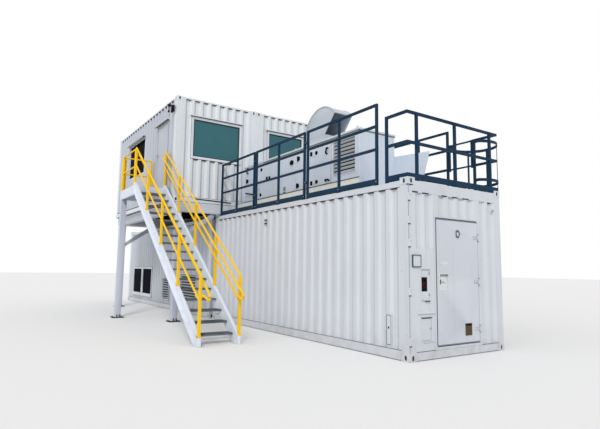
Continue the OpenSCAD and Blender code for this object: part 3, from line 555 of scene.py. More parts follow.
@dataclass(frozen=True)
class FloorBoards(Finish):
    """Sealed plywood floor with long boards and worn paths."""

    def surface(self, wiring: Wiring, place: Socket) -> dict[str, object]:
        """Wires the boards.

        Args:
            wiring: Wiring of the material's tree.
            place: Place on the surface.

        Returns:
            A value or socket for each input of the main shader, by name.
        """
        grain = wiring.noise(wiring.stretch(place, (40.0, 2.5, 40.0)), 1.0, 6.0)
        sealed = wiring.blend(wiring.span(grain, 0.3, 0.7, 0.0, 1.0), scaled(self.colour, 0.6), self.colour)
        boards = wiring.out(
            "ShaderNodeTexBrick",
            {"Vector": place, "Color1": (1, 1, 1, 1), "Color2": (0.9, 0.9, 0.9, 1),
             "Mortar": (0.25, 0.22, 0.2, 1), "Scale": 1.0, "Mortar Size": 0.004,
             "Brick Width": 2.4, "Row Height": 0.3},
        )
        return {
            "Base Color": wiring.blend(1.0, sealed, boards, "MULTIPLY"),
            "Roughness": wiring.span(wiring.noise(place, 3.0, 5.0), 0.3, 0.7, 0.4, 0.7),
        }


@dataclass(frozen=True)
class CoatedDeck(Finish):
    """Floor with a vinyl sheet on top and, below a level, a black tarry coating that also paints the shade
    under the cabin.
    """

    coat_and_shade: Colour
    level: float

    def surface(self, wiring: Wiring, place: Socket) -> dict[str, object]:
        """Wires the sheet and the coating below it.

        Args:
            wiring: Wiring of the material's tree.
            place: Place on the surface.

        Returns:
            A value or socket for each input of the main shader, by name.
        """
        above = wiring.span(wiring.part(place, Axis.Z), self.level - 0.002, self.level + 0.002, 0.0, 1.0)
        scuffs = wiring.span(wiring.noise(place, 2.2, 6.0), 0.35, 0.7, 0.0, 1.0)
        sheet = wiring.blend(scuffs, self.colour, scaled(self.colour, 1.15))
        return {
            "Base Color": wiring.blend(above, self.coat_and_shade, sheet),
            "Roughness": wiring.span(wiring.noise(place, 9.0, 4.0), 0.3, 0.7, 0.55, 0.8),
            "Specular IOR Level": 0.2,
            "Normal": wiring.bump(wiring.noise(place, 60.0, 3.0), 0.3, 0.003),
        }


@dataclass(frozen=True)
class FloorPaint(Finish):
    """Plain matt floor that the building stands on."""

    def surface(self, wiring: Wiring, place: Socket) -> dict[str, object]:
        """Returns the inputs of the main shader."""
        return {"Base Color": (*self.colour, 1.0), "Roughness": 0.9}


class Finishes:
    """The finishes of the building, each built once."""

    def __init__(self) -> None:
        """Builds every material."""
        wall, cabin, shaded_cabin_side = (0.575, 0.605, 0.65), (0.655, 0.69, 0.725), (0.43, 0.47, 0.55)
        worn = {"splash": 0.4, "chips": 0.3}
        side = {"splash": 0.35, "streaks": 0.2}
        self.wall = PaintedSteel("wall_paint", wall, **side).build()
        # wall paint with painted shade at the fold lines of the near side
        self.near_side = PaintedSteel(
            "near_side_paint", wall, **side, fold_shade=FoldShade.on_side(NEAR, 0.2)
        ).build()
        # darker copy of the wall paint: painted shade on the rear container under the cabin, plus painted
        # shade at the fold lines
        self.shaded_rear_wall = PaintedSteel(
            "shaded_rear_wall_paint", (0.46, 0.49, 0.55), splash=0.35, streaks=0.25, fold_shade=FoldShade.on_side(REAR)
        ).build()
        self.frame = PaintedSteel("frame_paint", (0.57, 0.6, 0.65), splash=0.4, chips=0.35).build()
        self.cabin = PaintedSteel("cabin_paint", cabin, streaks=0.16).build()
        # cabin paint with painted shade on one slope of each hollow of the front
        self.cabin_front = PaintedSteel(
            "cabin_front_paint", cabin, streaks=0.16, fold_shade=FoldShade.on_cabin_front()
        ).build()
        # darker copy of the cabin paint: painted shade on the cabin's left side, plus painted shade at the
        # fold lines
        self.shaded_cabin_side = PaintedSteel(
            "shaded_cabin_side_paint", shaded_cabin_side, streaks=0.3, drift=0.08, fold_shade=FoldShade.on_side(CABIN_LEFT, 0.9)
        ).build()
        # darker copy of the cabin paint: painted shade on the door in the cabin's left side
        self.cabin_door = PaintedSteel("shaded_cabin_door_paint", (0.43, 0.47, 0.54), streaks=0.2).build()
        # painted shadow of the hoods on the windows' top bars
        self.shade = PaintedSteel("window_top_shadow_paint", (0.24, 0.23, 0.19), streaks=0.3, gloss=0.2).build()
        self.door = PaintedSteel(
            "door_paint", (0.55, 0.575, 0.635), splash=0.25, streaks=0.1, ripple=0.02
        ).build()
        self.tray = PaintedSteel("latch_tray_paint", (0.65, 0.7, 0.7), streaks=0.1, ripple=0.0).build()
        self.unit = PaintedSteel("unit_paint", (0.6, 0.665, 0.76), streaks=0.18, ripple=0.03).build()
        self.unit_base = PaintedSteel(
            "unit_base_paint", (0.8, 0.8, 0.745), streaks=0.3, ripple=0.03
        ).build()
        self.hood = PaintedSteel("hood_paint", (0.46, 0.51, 0.57), streaks=0.35, ripple=0.03).build()
        self.trim = PaintedSteel("olive_seal", (0.17, 0.18, 0.09), streaks=0.3, ripple=0.02).build()
        self.stair = PaintedSteel("stringer_paint", (0.66, 0.71, 0.8), **worn).build()
        # darker grey that paints the shade on the support legs; the rear window latch and the unit's vent
        # only take its grey
        self.grey_and_leg_shade = PaintedSteel("grey_and_leg_shade_paint", (0.46, 0.5, 0.58), **worn).build()
        self.rod = PaintedSteel("rod_paint", (0.28, 0.33, 0.42), streaks=0.2).build()
        self.slate = PaintedSteel(
            "slate_paint", (0.006, 0.03, 0.066), roughness=0.55, streaks=0.1,
            grime_and_shade=(0.05, 0.08, 0.11), chips=0.15, gloss=0.12,
        ).build()
        self.yellow = PaintedSteel(
            "yellow_paint", (0.87, 0.53, 0.004), roughness=0.42, streaks=0.12,
            grime_and_shade=(0.35, 0.22, 0.03), chips=0.4, gloss=0.12,
        ).build()
        self.red = PaintedSteel(
            "red_paint", (0.36, 0.01, 0.014), roughness=0.3, gloss=0.3, streaks=0.05, ripple=0.0
        ).build()
        self.brown = PaintedSteel(
            "brown_grille_paint", (0.13, 0.085, 0.05), roughness=0.6, chips=0.5
        ).build()
        # rusty brown that paints the shade under the hoods and inside the cabinet's recess
        self.rust_and_shade = PaintedSteel(
            "brown_rust_and_shade", (0.14, 0.11, 0.09), roughness=0.7, streaks=0.4, chips=0.6, gloss=0.2
        ).build()
        self.plate = PaintedSteel(
            "foot_paint", (0.012, 0.015, 0.02), roughness=0.7, splash=0.3, chips=0.3, gloss=0.05
        ).build()
        self.grating = BareMetal("grating_zinc", (0.15, 0.17, 0.2), metallic=0.3, roughness=0.6).build()
        self.zinc = BareMetal("zinc_fittings", (0.42, 0.43, 0.45), roughness=0.4).build()
        # dark blocks of painted shadow under the top rails, one in each hollow of the sheets, and under a
        # casting
        self.hollow_shadow = Moulded("hollow_top_shadow", (0.03, 0.034, 0.03), roughness=0.8, gloss=0.2).build()
        # black seals and hoses; also dark plates of painted shade in castings, louvres, the cabinet, the
        # door latch and between the beams
        self.rubber_and_shade = Moulded("black_seal_and_shade", (0.012, 0.014, 0.018), roughness=0.7).build()
        # dark grey joints and gaps; also painted shadows under the corner rod's lugs and above the low
        # hatch
        self.caulk_and_shade = Moulded("grey_gap_and_shade", (0.04, 0.058, 0.095), roughness=0.8, gloss=0.3).build()
        # black moulded parts; also painted shade along the door vent's top and between the unit's louvre
        # blades
        self.plastic = Moulded("black_moulding_and_shade", (0.008, 0.008, 0.01), roughness=0.75, gloss=0.05).build()
        self.label = Moulded("blank_label", (0.54, 0.59, 0.61), roughness=0.5).build()
        self.teal_pane = TintedPane("teal_pane", (0.035, 0.15, 0.18), gloss=0.3).build()
        # opaque near-black glass: painted shade of the dark rooms behind it
        self.interior_shade_pane = TintedPane("interior_shade_pane", (0.006, 0.007, 0.01), alpha=1.0, gloss=0.001).build()
        self.smoked_pane = TintedPane("smoked_pane", (0.01, 0.006, 0.008), alpha=0.42, gloss=0.05).build()
        self.lens = TintedPane("lamp_lens", (0.014, 0.014, 0.016), alpha=1.0, gloss=0.0).build()
        self.boards = FloorBoards("floor_boards", (0.3, 0.2, 0.12)).build()
        # below the level a black tarry coating, whose darkness also paints the shade under the cabin
        self.vinyl = CoatedDeck("cabin_deck", (0.2, 0.21, 0.22), (0.01, 0.009, 0.009), 3.465).build()


# Shapes


def show(name: str, data: bpy.types.ID) -> Piece:
    """Puts data into the scene.

    Args:
        name: Name of the object.
        data: What it holds.

    Returns:
        The new object.
    """
    made = bpy.data.objects.new(name, data)
    bpy.context.scene.collection.objects.link(made)
    return made


class Form:
    """Gathers the faces or guide points of one piece, from an origin in building coordinates."""

    def __init__(self, x: float = 0.0, y: float = 0.0, z: float = 0.0) -> None:
        """Starts empty.

        Args:
            x: Origin along x.
            y: Origin along y.
            z: Height of the origin.
        """
        self.origin = ORIGIN + Vector((x, y, z))
        self.mesh = bmesh.new()
        layers = self.mesh.verts.layers.float_vector
        self.facing, self.size, self.turn = (layers.new(name) for name in ("facing", "size", "turn"))

    def block(self, low: Point, high: Point, soften: float = 0.0) -> Form:
        """Adds a block.

        Args:
            low: Lowest corner.
            high: Highest corner.
            soften: Width of the chamfer on its edges.

        Returns:
            This form.
        """
        middle = (Vector(low) + Vector(high)) / 2
        size = Vector(high) - Vector(low)
        made = bmesh.ops.create_cube(self.mesh, size=1.0)["verts"]
        for vert in made:
            vert.co = Vector(a * b for a, b in zip(vert.co, size)) + middle
        if soften:
            edges = list({edge for vert in made for edge in vert.link_edges})
            bmesh.ops.bevel(self.mesh, geom=edges, offset=soften, segments=1, affect="EDGES", profile=0.5)
        return self

    def prism(self, outline: Sequence[Flat], axis: Axis, start: float, end: float) -> Form:
        """Draws an outline out along an axis.

        Args:
            outline: Corners in the two other axes, in x, y, z order.
            axis: Direction of the draw.
            start: Where it starts.
            end: Where it ends.

        Returns:
            This form.
        """
        rings = []
        for along in (start, end):
            corners = [(*corner[:axis.value], along, *corner[axis.value:]) for corner in outline]
            rings.append([self.mesh.verts.new(corner) for corner in corners])
        bottom, top = rings
        self.mesh.faces.new(bottom)
        self.mesh.faces.new(top[::-1])
        self._side(bottom, top, flip=True)
        return self

    def _side(self, low: list, high: list, flip: bool = False) -> None:
        """Closes the band between two rings of corners.

        Args:
            low: Corners of the first ring.
            high: Corners of the second ring.
            flip: Whether the faces are turned the other way.
        """
        count = len(low)
        for i in range(count):
            j = (i + 1) % count
            first, last = (high[i], low[j]) if flip else (low[j], high[i])
            self.mesh.faces.new((low[i], first, high[j], last))

    def rod(
        self, start: Point, end: Point, radius: float, sides: int = 16, tip: float | None = None
    ) -> Form:
        """Adds a round rod or a cone.

        Args:
            start: Centre of one end.
            end: Centre of the other end.
            radius: Radius at the start.
            sides: Number of sides.
            tip: Radius at the end, the same as at the start if left out.

        Returns:
            This form.
        """
        low, high = Vector(start), Vector(end)
        run = high - low
        turn = run.to_track_quat("Z", "Y").to_matrix().to_4x4()
        bmesh.ops.create_cone(
            self.mesh, cap_ends=True, segments=sides, radius1=radius,
            radius2=radius if tip is None else tip, depth=run.length,
            matrix=Matrix.Translation((low + high) / 2) @ turn,
        )
        return self

    def turned(self, profile: Sequence[Flat], centre: Point, sides: int = 32) -> Form:
        """Turns a profile about an upright axis.

        Args:
            profile: Radius and height of each ring, from the bottom up.
            centre: Foot of the axis.
            sides: Number of sides.

        Returns:
            This form.
        """
        rings = []
        for radius, height in profile:
            ring = []
            for i in range(sides):
                angle = 2 * math.pi * i / sides
                place = Vector((radius * math.cos(angle), radius * math.sin(angle), height))
                ring.append(self.mesh.verts.new(Vector(centre) + place))
            rings.append(ring)
        for low, high in zip(rings, rings[1:]):
            self._side(low, high)
        self.mesh.faces.new(rings[0][::-1])
        self.mesh.faces.new(rings[-1])
        return self

    def ring_frame(self, low: Point, high: Point, bar: float, axis: Axis) -> Form:
        """Adds a rectangular frame of four mitred bars.

        Args:
            low: Lowest corner of the whole frame.
            high: Highest corner of the whole frame.
            bar: Width of the bars.
            axis: Direction that the frame faces.

        Returns:
            This form.
        """
        first, second = (i for i in range(3) if i != axis.value)
        a0, b0, a1, b1 = low[first], low[second], high[first], high[second]
        outer = [(a0, b0), (a1, b0), (a1, b1), (a0, b1)]
        inner = [(a0 + bar, b0 + bar), (a1 - bar, b0 + bar), (a1 - bar, b1 - bar), (a0 + bar, b1 - bar)]
        for i in range(4):
            j = (i + 1) % 4
            bar_outline = [outer[i], outer[j], inner[j], inner[i]]
            self.prism(bar_outline, axis, low[axis.value], high[axis.value])
        return self

    @staticmethod
    def _over(opening: Rect, out: float, start: float, end: float, axis: Axis) -> tuple[Point, Point]:
        """Finds the corners of a plate over an opening.

        Args:
            opening: Outline of the opening.
            out: How far the plate's edge lies out of it.
            start: Where the plate starts along the axis.
            end: Where it ends.
            axis: Direction that the plate faces.

        Returns:
            The lowest and the highest corner.
        """
        side0, side1, foot, head = opening
        low, high = (side0 - out, foot - out), (side1 + out, head + out)
        cut = axis.value
        return (*low[:cut], start, *low[cut:]), (*high[:cut], end, *high[cut:])

    def trim(self, opening: Rect, out: float, start: float, end: float, bar: float, axis: Axis) -> Form:
        """Adds a frame along the edges of an opening, its outer edge a little way out of it."""
        return self.ring_frame(*self._over(opening, out, start, end, axis), bar, axis)

    def panel(
        self, opening: Rect, out: float, start: float, end: float, axis: Axis, soften: float = 0.0
    ) -> Form:
        """Adds a plate over an opening, its edge a little way out of it."""
        return self.block(*self._over(opening, out, start, end, axis), soften)

    def path(self, points: Sequence[Point], closed: bool = False) -> Form:
        """Adds a guide path for a swept bar.

        Args:
            points: Corners of the path.
            closed: Whether the last corner joins the first.

        Returns:
            This form.
        """
        verts = [self.mesh.verts.new(point) for point in points]
        for pair in zip(verts, verts[1:]):
            self.mesh.edges.new(pair)
        if closed:
            self.mesh.edges.new((verts[-1], verts[0]))
        return self

    def spot(self, point: Point, facing: Point) -> Form:
        """Adds a guide point for a fastener, with the direction that its head faces."""
        self.mesh.verts.new(point)[self.facing] = facing
        return self

    def slab(self, point: Point, size: Point, turn: Point = (0.0, 0.0, 0.0)) -> Form:
        """Adds a guide point for a small block.

        Args:
            point: Middle of the block.
            size: Its size.
            turn: Its turn in radians.

        Returns:
            This form.
        """
        vert = self.mesh.verts.new(point)
        vert[self.size] = size
        vert[self.turn] = turn
        return self

    def piece(self, name: str) -> Piece:
        """Makes the gathered mesh an object in the scene, with its faces turned outwards.

        Args:
            name: Name of the object.

        Returns:
            The object.
        """
        if self.mesh.faces:
            bmesh.ops.recalc_face_normals(self.mesh, faces=self.mesh.faces)
        self.mesh.transform(Matrix.Translation(self.origin))
        mesh = bpy.data.meshes.new(name)
        self.mesh.to_mesh(mesh)
        self.mesh.free()
        return show(name, mesh)


class GuideTree:
    """A node tree that grows small solids from a guide mesh.

    A subclass adds its named sizes and the nodes between the guide and the finished solids.
    """

    name = "guide_tree"
    sizes: dict[str, float] = {}
    counts: dict[str, int] = {}

    def __init__(self) -> None:
        """Builds the tree with its named inputs."""
        self.tree = bpy.data.node_groups.new(self.name, "GeometryNodeTree")
        face = self.tree.interface
        face.new_socket("Guide", in_out="INPUT", socket_type="NodeSocketGeometry")
        self.keys: dict[str, str] = {}
        for label, value in {**self.sizes, **self.counts}.items():
            kind = "NodeSocketInt" if label in self.counts else "NodeSocketFloat"
            socket = face.new_socket(label, in_out="INPUT", socket_type=kind)
            socket.default_value = value
            self.keys[label.lower()] = socket.identifier
        finish = face.new_socket("Finish", in_out="INPUT", socket_type="NodeSocketMaterial")
        self.keys["finish"] = finish.identifier
        face.new_socket("Solids", in_out="OUTPUT", socket_type="NodeSocketGeometry")
        self.wiring = Wiring(self.tree)
        self.entry = self.wiring.add("NodeGroupInput").outputs
        real = self.wiring.out("GeometryNodeRealizeInstances", {"Geometry": self.grow()})
        inputs = {"Geometry": real, "Material": self.entry["Finish"]}
        self.wiring.add("NodeGroupOutput", {0: self.wiring.out("GeometryNodeSetMaterial", inputs)})

    def grow(self) -> Socket:
        """Returns the solids at the end of the nodes between them and the guide."""
        raise NotImplementedError

    def read(self, name: str) -> Socket:
        """Returns a vector that each guide point holds."""
        return self.wiring.out("GeometryNodeInputNamedAttribute", {"Name": name}, data_type="FLOAT_VECTOR")

    def run(self, guide: Form, name: str, **values: object) -> Piece:
        """Grows one piece and makes it a plain mesh.

        Args:
            guide: Guide points or paths.
            name: Name of the piece.
            values: Finish, sizes and counts, by input name in lower case.

        Returns:
            The piece.
        """
        source = guide.piece(f"{name}_guide")
        modifier = source.modifiers.new(self.name, "NODES")
        modifier.node_group = self.tree
        for word, value in values.items():
            modifier[self.keys[word]] = value
        bpy.context.view_layer.update()
        graph = bpy.context.evaluated_depsgraph_get()
        data = bpy.data.meshes.new_from_object(source.evaluated_get(graph), depsgraph=graph)
        data.name = name
        source.modifiers.clear()
        bpy.data.objects.remove(source)
        for layer in ("facing", "size", "turn"):
            if layer in data.attributes:
                data.attributes.remove(data.attributes[layer])
        return show(name, data)


class SweptBars(GuideTree):
    """Sweeps a round or flat section along each guide path, with its corners bent."""

    sizes = {"Width": 0.04, "Depth": 0.04, "Bend": 0.05}
    counts = {"Sides": 16}

    def __init__(self, section: Section) -> None:
        """Builds the tree for one section.

        Args:
            section: Shape of the bar's section.
        """
        self.section = section
        self.name = f"swept_{section.value}_bars"
        super().__init__()

    def grow(self) -> Socket:
        """Adds the nodes between the guide and the finished solids.

        Returns:
            The solids.
        """
        wiring, entry = self.wiring, self.entry
        lines = wiring.out("GeometryNodeMeshToCurve", {0: entry["Guide"]})
        corner = {"Curve": lines, "Radius": entry["Bend"], "Limit Radius": True, "Count": 5}
        bent = wiring.out("GeometryNodeFilletCurve", corner, mode="POLY")
        upright = wiring.out("GeometryNodeSetCurveNormal", {"Curve": bent}, mode="Z_UP")
        if self.section is Section.ROUND:
            circle = {"Resolution": entry["Sides"], "Radius": wiring.product(entry["Width"], 0.5)}
            shape = wiring.out("GeometryNodeCurvePrimitiveCircle", circle)
        else:
            flat = {"Width": entry["Width"], "Height": entry["Depth"]}
            shape = wiring.out("GeometryNodeCurvePrimitiveQuadrilateral", flat)
        swept = {"Curve": upright, "Profile Curve": shape, "Fill Caps": True}
        return wiring.out("GeometryNodeCurveToMesh", swept)


class Fasteners(GuideTree):
    """Puts a washer and a head, turned at random, on each guide point."""

    name = "fasteners"
    sizes = {"Radius": 0.012, "Height": 0.009, "Taper": 0.92, "Washer": 1.5}
    counts = {"Sides": 6, "Seed": 7}

    def grow(self) -> Socket:
        """Adds the nodes between the guide and the finished solids.

        Returns:
            The solids.
        """
        wiring, entry = self.wiring, self.entry
        cone = {
            "Vertices": entry["Sides"], "Radius Top": wiring.product(entry["Radius"], entry["Taper"]),
            "Radius Bottom": entry["Radius"], "Depth": entry["Height"],
        }
        rim = wiring.product(entry["Radius"], entry["Washer"])
        both = wiring.add("GeometryNodeJoinGeometry")
        wiring.feed(both.inputs[0], wiring.out("GeometryNodeMeshCone", cone))
        disc = {"Vertices": 12, "Radius": rim, "Depth": 0.003}
        wiring.feed(both.inputs[0], wiring.out("GeometryNodeMeshCylinder", disc))
        aim = wiring.out("FunctionNodeAlignRotationToVector", {"Vector": self.read("facing")}, axis="Z")
        chance = {2: 0.0, 3: 6.283, "Seed": entry["Seed"]}
        angle = wiring.add("FunctionNodeRandomValue", chance, data_type="FLOAT").outputs[1]
        spin = wiring.out("FunctionNodeAxisAngleToRotation", {"Axis": UPWARD, "Angle": angle})
        both_turns = {"Rotation": aim, "Rotate By": spin}
        turned = wiring.out("FunctionNodeRotateRotation", both_turns, rotation_space="LOCAL")
        placed = {"Points": entry["Guide"], "Instance": both.outputs[0], "Rotation": turned}
        return wiring.out("GeometryNodeInstanceOnPoints", placed)


class SmallBlocks(GuideTree):
    """Puts a block of its own size and turn on each guide point."""

    name = "small_blocks"

    def grow(self) -> Socket:
        """Adds the nodes between the guide and the finished solids.

        Returns:
            The solids.
        """
        cube = self.wiring.out("GeometryNodeMeshCube", {"Size": (1.0, 1.0, 1.0)})
        placed = {
            "Points": self.entry["Guide"], "Instance": cube, "Rotation": self.read("turn"),
            "Scale": self.read("size"),
        }
        return self.wiring.out("GeometryNodeInstanceOnPoints", placed)


class Growers:
    """The node trees, each built once."""

    def __init__(self) -> None:
        """Builds every tree."""
        self.tubes = SweptBars(Section.ROUND)
        self.flats = SweptBars(Section.FLAT)
        self.fasteners = Fasteners()
        self.blocks = SmallBlocks()


def extent(node: str) -> tuple[Vector, Vector]:
    """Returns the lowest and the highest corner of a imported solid, in building coordinates."""
    low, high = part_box(node)
    return low - ORIGIN, high - ORIGIN


@dataclass
class SubAssembly:
    """A part of the building, with the finishes and the node trees it is built with.

    A subclass may change the body that its pieces ride on unless they say otherwise.
    """

    paint: Finishes
    growers: Growers

    slot = "white_paint"
    body = Body.BUILDING

    def build(self) -> None:
        """Builds the sub-assembly."""
        raise NotImplementedError

    def settle(
        self, piece: Piece, slot: str | None = None, body: Body | None = None,
        stands_for: Sequence[str] = (), smooth: float = 35.0,
    ) -> Piece:
        """Puts a dressed piece on its body.

        Args:
            piece: The piece.
            slot: Not used.
            body: Body that it rides on.
            stands_for: Solids that it replaces.
            smooth: Angle in degrees below which neighbouring faces shade smoothly.

        Returns:
            The piece.
        """
        carrier = (body or self.body).value
        piece.data.shade_smooth()
        piece.data.set_sharp_from_angle(angle=math.radians(smooth))
        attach(piece, carrier)
        if stands_for:
            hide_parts(*stands_for)
        log.info("piece %s: %d faces on %s", piece.name, len(piece.data.polygons), carrier)
        return piece

    def dress(self, finish: Material, *nodes: str) -> None:
        """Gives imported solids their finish.

        Args:
            finish: The finish.
            nodes: Names of the solids.
        """
        for node in nodes:
            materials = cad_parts[node].data.materials
            materials.clear()
            materials.append(finish)
            log.info("solid %s: %s", node, finish.name)

    def soften(self, finish: Material, width: float, *nodes: str, **rest: object) -> None:
        """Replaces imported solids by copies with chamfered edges.

        Args:
            finish: Material of the copies.
            width: Width of the chamfer.
            nodes: Names of the solids.
            rest: What else goes to settle.
        """
        for node in nodes:
            mesh = bmesh.new()
            mesh.from_mesh(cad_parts[node].data)
            bmesh.ops.remove_doubles(mesh, verts=mesh.verts, dist=0.00002)
            flat, sharp = math.radians(0.4), math.radians(28)
            bmesh.ops.dissolve_limit(mesh, angle_limit=flat, verts=mesh.verts, edges=mesh.edges)
            edges = [edge for edge in mesh.edges if edge.is_manifold and edge.calc_face_angle(0.0) > sharp]
            bmesh.ops.bevel(
                mesh, geom=edges, offset=width, segments=1, profile=0.5, affect="EDGES", clamp_overlap=True
            )
            data = bpy.data.meshes.new(f"{node}_piece")
            mesh.to_mesh(data)
            mesh.free()
            data.materials.append(finish)
            self.settle(show(f"{node}_piece", data), stands_for=(node,), **rest)

    def add(self, form: Form, name: str, finish: Material, **rest: object) -> Piece:
        """Makes a form a piece.

        Args:
            form: The form.
            name: Name of the piece.
            finish: Its finish.
            rest: What else goes to settle.

        Returns:
            The piece.
        """
        piece = form.piece(name)
        piece.data.materials.append(finish)
        return self.settle(piece, **rest)

    def blocks(self, guide: Form, name: str, finish: Material, **rest: object) -> Piece:
        """Grows small blocks. The rest goes to settle."""
        return self.settle(self.growers.blocks.run(guide, name, finish=finish), **rest)

    def screws(
        self, guide: Form, name: str, radius: float = 0.01, height: float = 0.007, sides: int = 6,
        finish: Material | None = None, **rest: object,
    ) -> Piece:
        """Grows fasteners, in zinc if no finish is given. The rest goes to settle."""
        made = self.growers.fasteners.run(
            guide, name, finish=finish or self.paint.zinc, radius=radius, height=height, sides=sides
        )
        return self.settle(made, **rest)

    def tube(
        self, guide: Form, name: str, finish: Material, width: float, bend: float = 0.05,
        sides: int = 16, **rest: object,
    ) -> Piece:
        """Sweeps a round bar along its path. The rest goes to settle."""
        made = self.growers.tubes.run(guide, name, finish=finish, width=width, bend=bend, sides=sides)
        return self.settle(made, **rest)


# Ground containers


@dataclass
class ContainerShells(SubAssembly):
    """Frames, walls and roofs of the two ground containers.

    Painted shadow dashes, lugs and vents are given by their heights. The inset is how far the middle of a
    shadow dash lies inside the container's face, and the seam is where a seam starts and ends behind that
    face.
    """

    side_shadow_height: float = 2.738
    end_shadow_height: float = 2.649
    inset: float = 0.027
    seam: Flat = (0.004, 0.0085)
    lugs: tuple[float, ...] = (2.567, 2.196, 1.83, 1.07, 0.3)
    vents: tuple[float, ...] = (2.455, 2.535)

    def build(self) -> None:
        """Builds the shells with their seals, shadow gaps and small fittings."""
        # painted shade at the fold lines of the near side
        self.dress(self.paint.near_side, "front_left_wall")
        ends = ("end_panel_left", "end_panel_right", "end_panel_over")
        self.dress(self.paint.wall, "front_blank_walls", *ends)
        # darker paint: painted shade on the rear container under the cabin
        self.dress(self.paint.shaded_rear_wall, "rear_left_wall", "rear_blank_walls")
        self.dress(self.paint.frame, "front_roof", "rear_roof")
        self.dress(self.paint.boards, "front_floor", "rear_floor")
        frames = ("front_rails", "front_corner_posts", "rear_rails", "rear_corner_posts")
        self.soften(self.paint.frame, 0.004, *frames)
        self._slots()
        self._hollow_tops()
        self._rail_seams()
        self._near_edge()
        self._side_fittings()

    def _slots(self) -> None:
        """Puts dark plates of painted shade behind the slots of all corner castings."""
        form = Form()
        for module in GROUND_MODULES + CABIN_MODULES:
            module.shade_slot_backs(form)
        self.blocks(form, "casting_slot_shades", self.paint.rubber_and_shade)

    def _hollow_tops(self) -> None:
        """Paints the shadow under the top rails as a dark block at the top of each hollow of the sheets."""
        form = Form()
        end_size = (0.13, 0.036, 0.016)
        blank_from = 2.0
        for module in GROUND_MODULES:
            for y in module.side_hollows():
                for x in (self.inset, module.width - self.inset):
                    form.slab((x, y, self.side_shadow_height), (0.036, 0.15, 0.018))
            for x in module.end_hollows():
                if module is REAR or x > blank_from:
                    form.slab((x, module.y + self.inset, self.end_shadow_height), end_size)
                form.slab((x, module.far - self.inset, self.end_shadow_height), end_size)
        for x, width in ((0.415, 0.15), (0.876, 0.137), (1.154, 0.142), (1.443, 0.172)):
            form.slab((x, 0.006, 2.659), (width, 0.008, 0.018))
        form.slab((0.164, 0.003, 2.662), (0.124, 0.014, 0.018))
        # painted shadow under the near top corner casting
        form.slab((0.054, 0.014, 2.7705), (0.112, 0.032, 0.017))
        self.blocks(form, "sheet_top_shadows", self.paint.hollow_shadow)

    def _rail_seams(self) -> None:
        """Draws the sealed seams where the sheets meet the rails."""
        form = Form()
        start, end = self.seam
        for module in GROUND_MODULES:
            y0, y1 = module.y + module.casting_l, module.far - module.casting_l
            for x0, x1 in ((start, end), (module.width - end, module.width - start)):
                for z0, z1 in ((0.16, 0.1665), (2.7405, 2.746)):
                    form.block((x0, y0, z0), (x1, y1, z1))
        for x0, x1 in ((0.162, 0.598), (1.792, 2.276)):
            form.block((x0, start, 0.14), (x1, end, 0.1465))
        self.add(form, "sheet_seams", self.paint.caulk_and_shade)

    def _near_edge(self) -> None:
        """Adds the slim rod down the near corner post, held by small lugs, each with a lighter cap of
        painted highlight on top and a strip of painted shadow below.
        """
        x, back = 0.012, 0.008
        rod = Form(x).path([(0.0, 0.0, 0.135), (0.0, 0.0, 2.77)])
        self.tube(rod, "corner_rod", self.paint.rod, 0.01, sides=10)
        lugs, caps, shades = Form(x), Form(x), Form(x)
        for z in self.lugs:
            lugs.block((-0.01, -0.01, z - 0.05), (0.026, back, z + 0.05), 0.003)
            # lighter cap in cabin paint: painted highlight on the lug's top
            caps.block((-0.012, -0.014, z + 0.05), (0.05, back, z + 0.064), 0.002)
            # painted shadow under the lug
            shades.block((-0.012, -0.008, z - 0.066), (0.036, back, z - 0.05), 0.002)
        self.add(lugs, "corner_rod_lugs", self.paint.wall)
        # cabin paint here is a painted highlight
        self.add(caps, "corner_rod_highlights", self.paint.cabin)
        self.add(shades, "corner_rod_shades", self.paint.caulk_and_shade)

    def _side_fittings(self) -> None:
        """Adds the small hatch and the vents on the near container's long side."""
        opening = (0.385, 0.517, 0.2, 0.7)
        hatch = Form().trim(opening, 0.0, 0.0, 0.012, 0.012, Axis.X)
        hatch.panel(opening, -0.01, 0.004, 0.009, Axis.X)
        self.add(hatch, "side_hatch", self.paint.wall)
        gap = Form().trim(opening, -0.012, 0.0015, 0.0045, 0.009, Axis.X)
        self.add(gap, "side_hatch_gap", self.paint.caulk_and_shade)
        catch = Form().block((-0.006, 0.44, 0.47), (0.006, 0.462, 0.5), 0.002)
        self.add(catch, "side_hatch_catch", self.paint.plastic)
        vents, slits = Form(), Form()
        y, half = 4.477, 0.072
        for z in self.vents:
            vents.block((0.0, y - half, z - 0.022), (0.012, y + half, z + 0.022), 0.003)
            for step in (-1, 0, 1):
                slits.slab((-0.0005, y, z + 0.011 * step), (0.004, 0.13, 0.009))
        self.add(vents, "side_vents", self.paint.wall)
        self.blocks(slits, "side_vent_slits", self.paint.plastic)


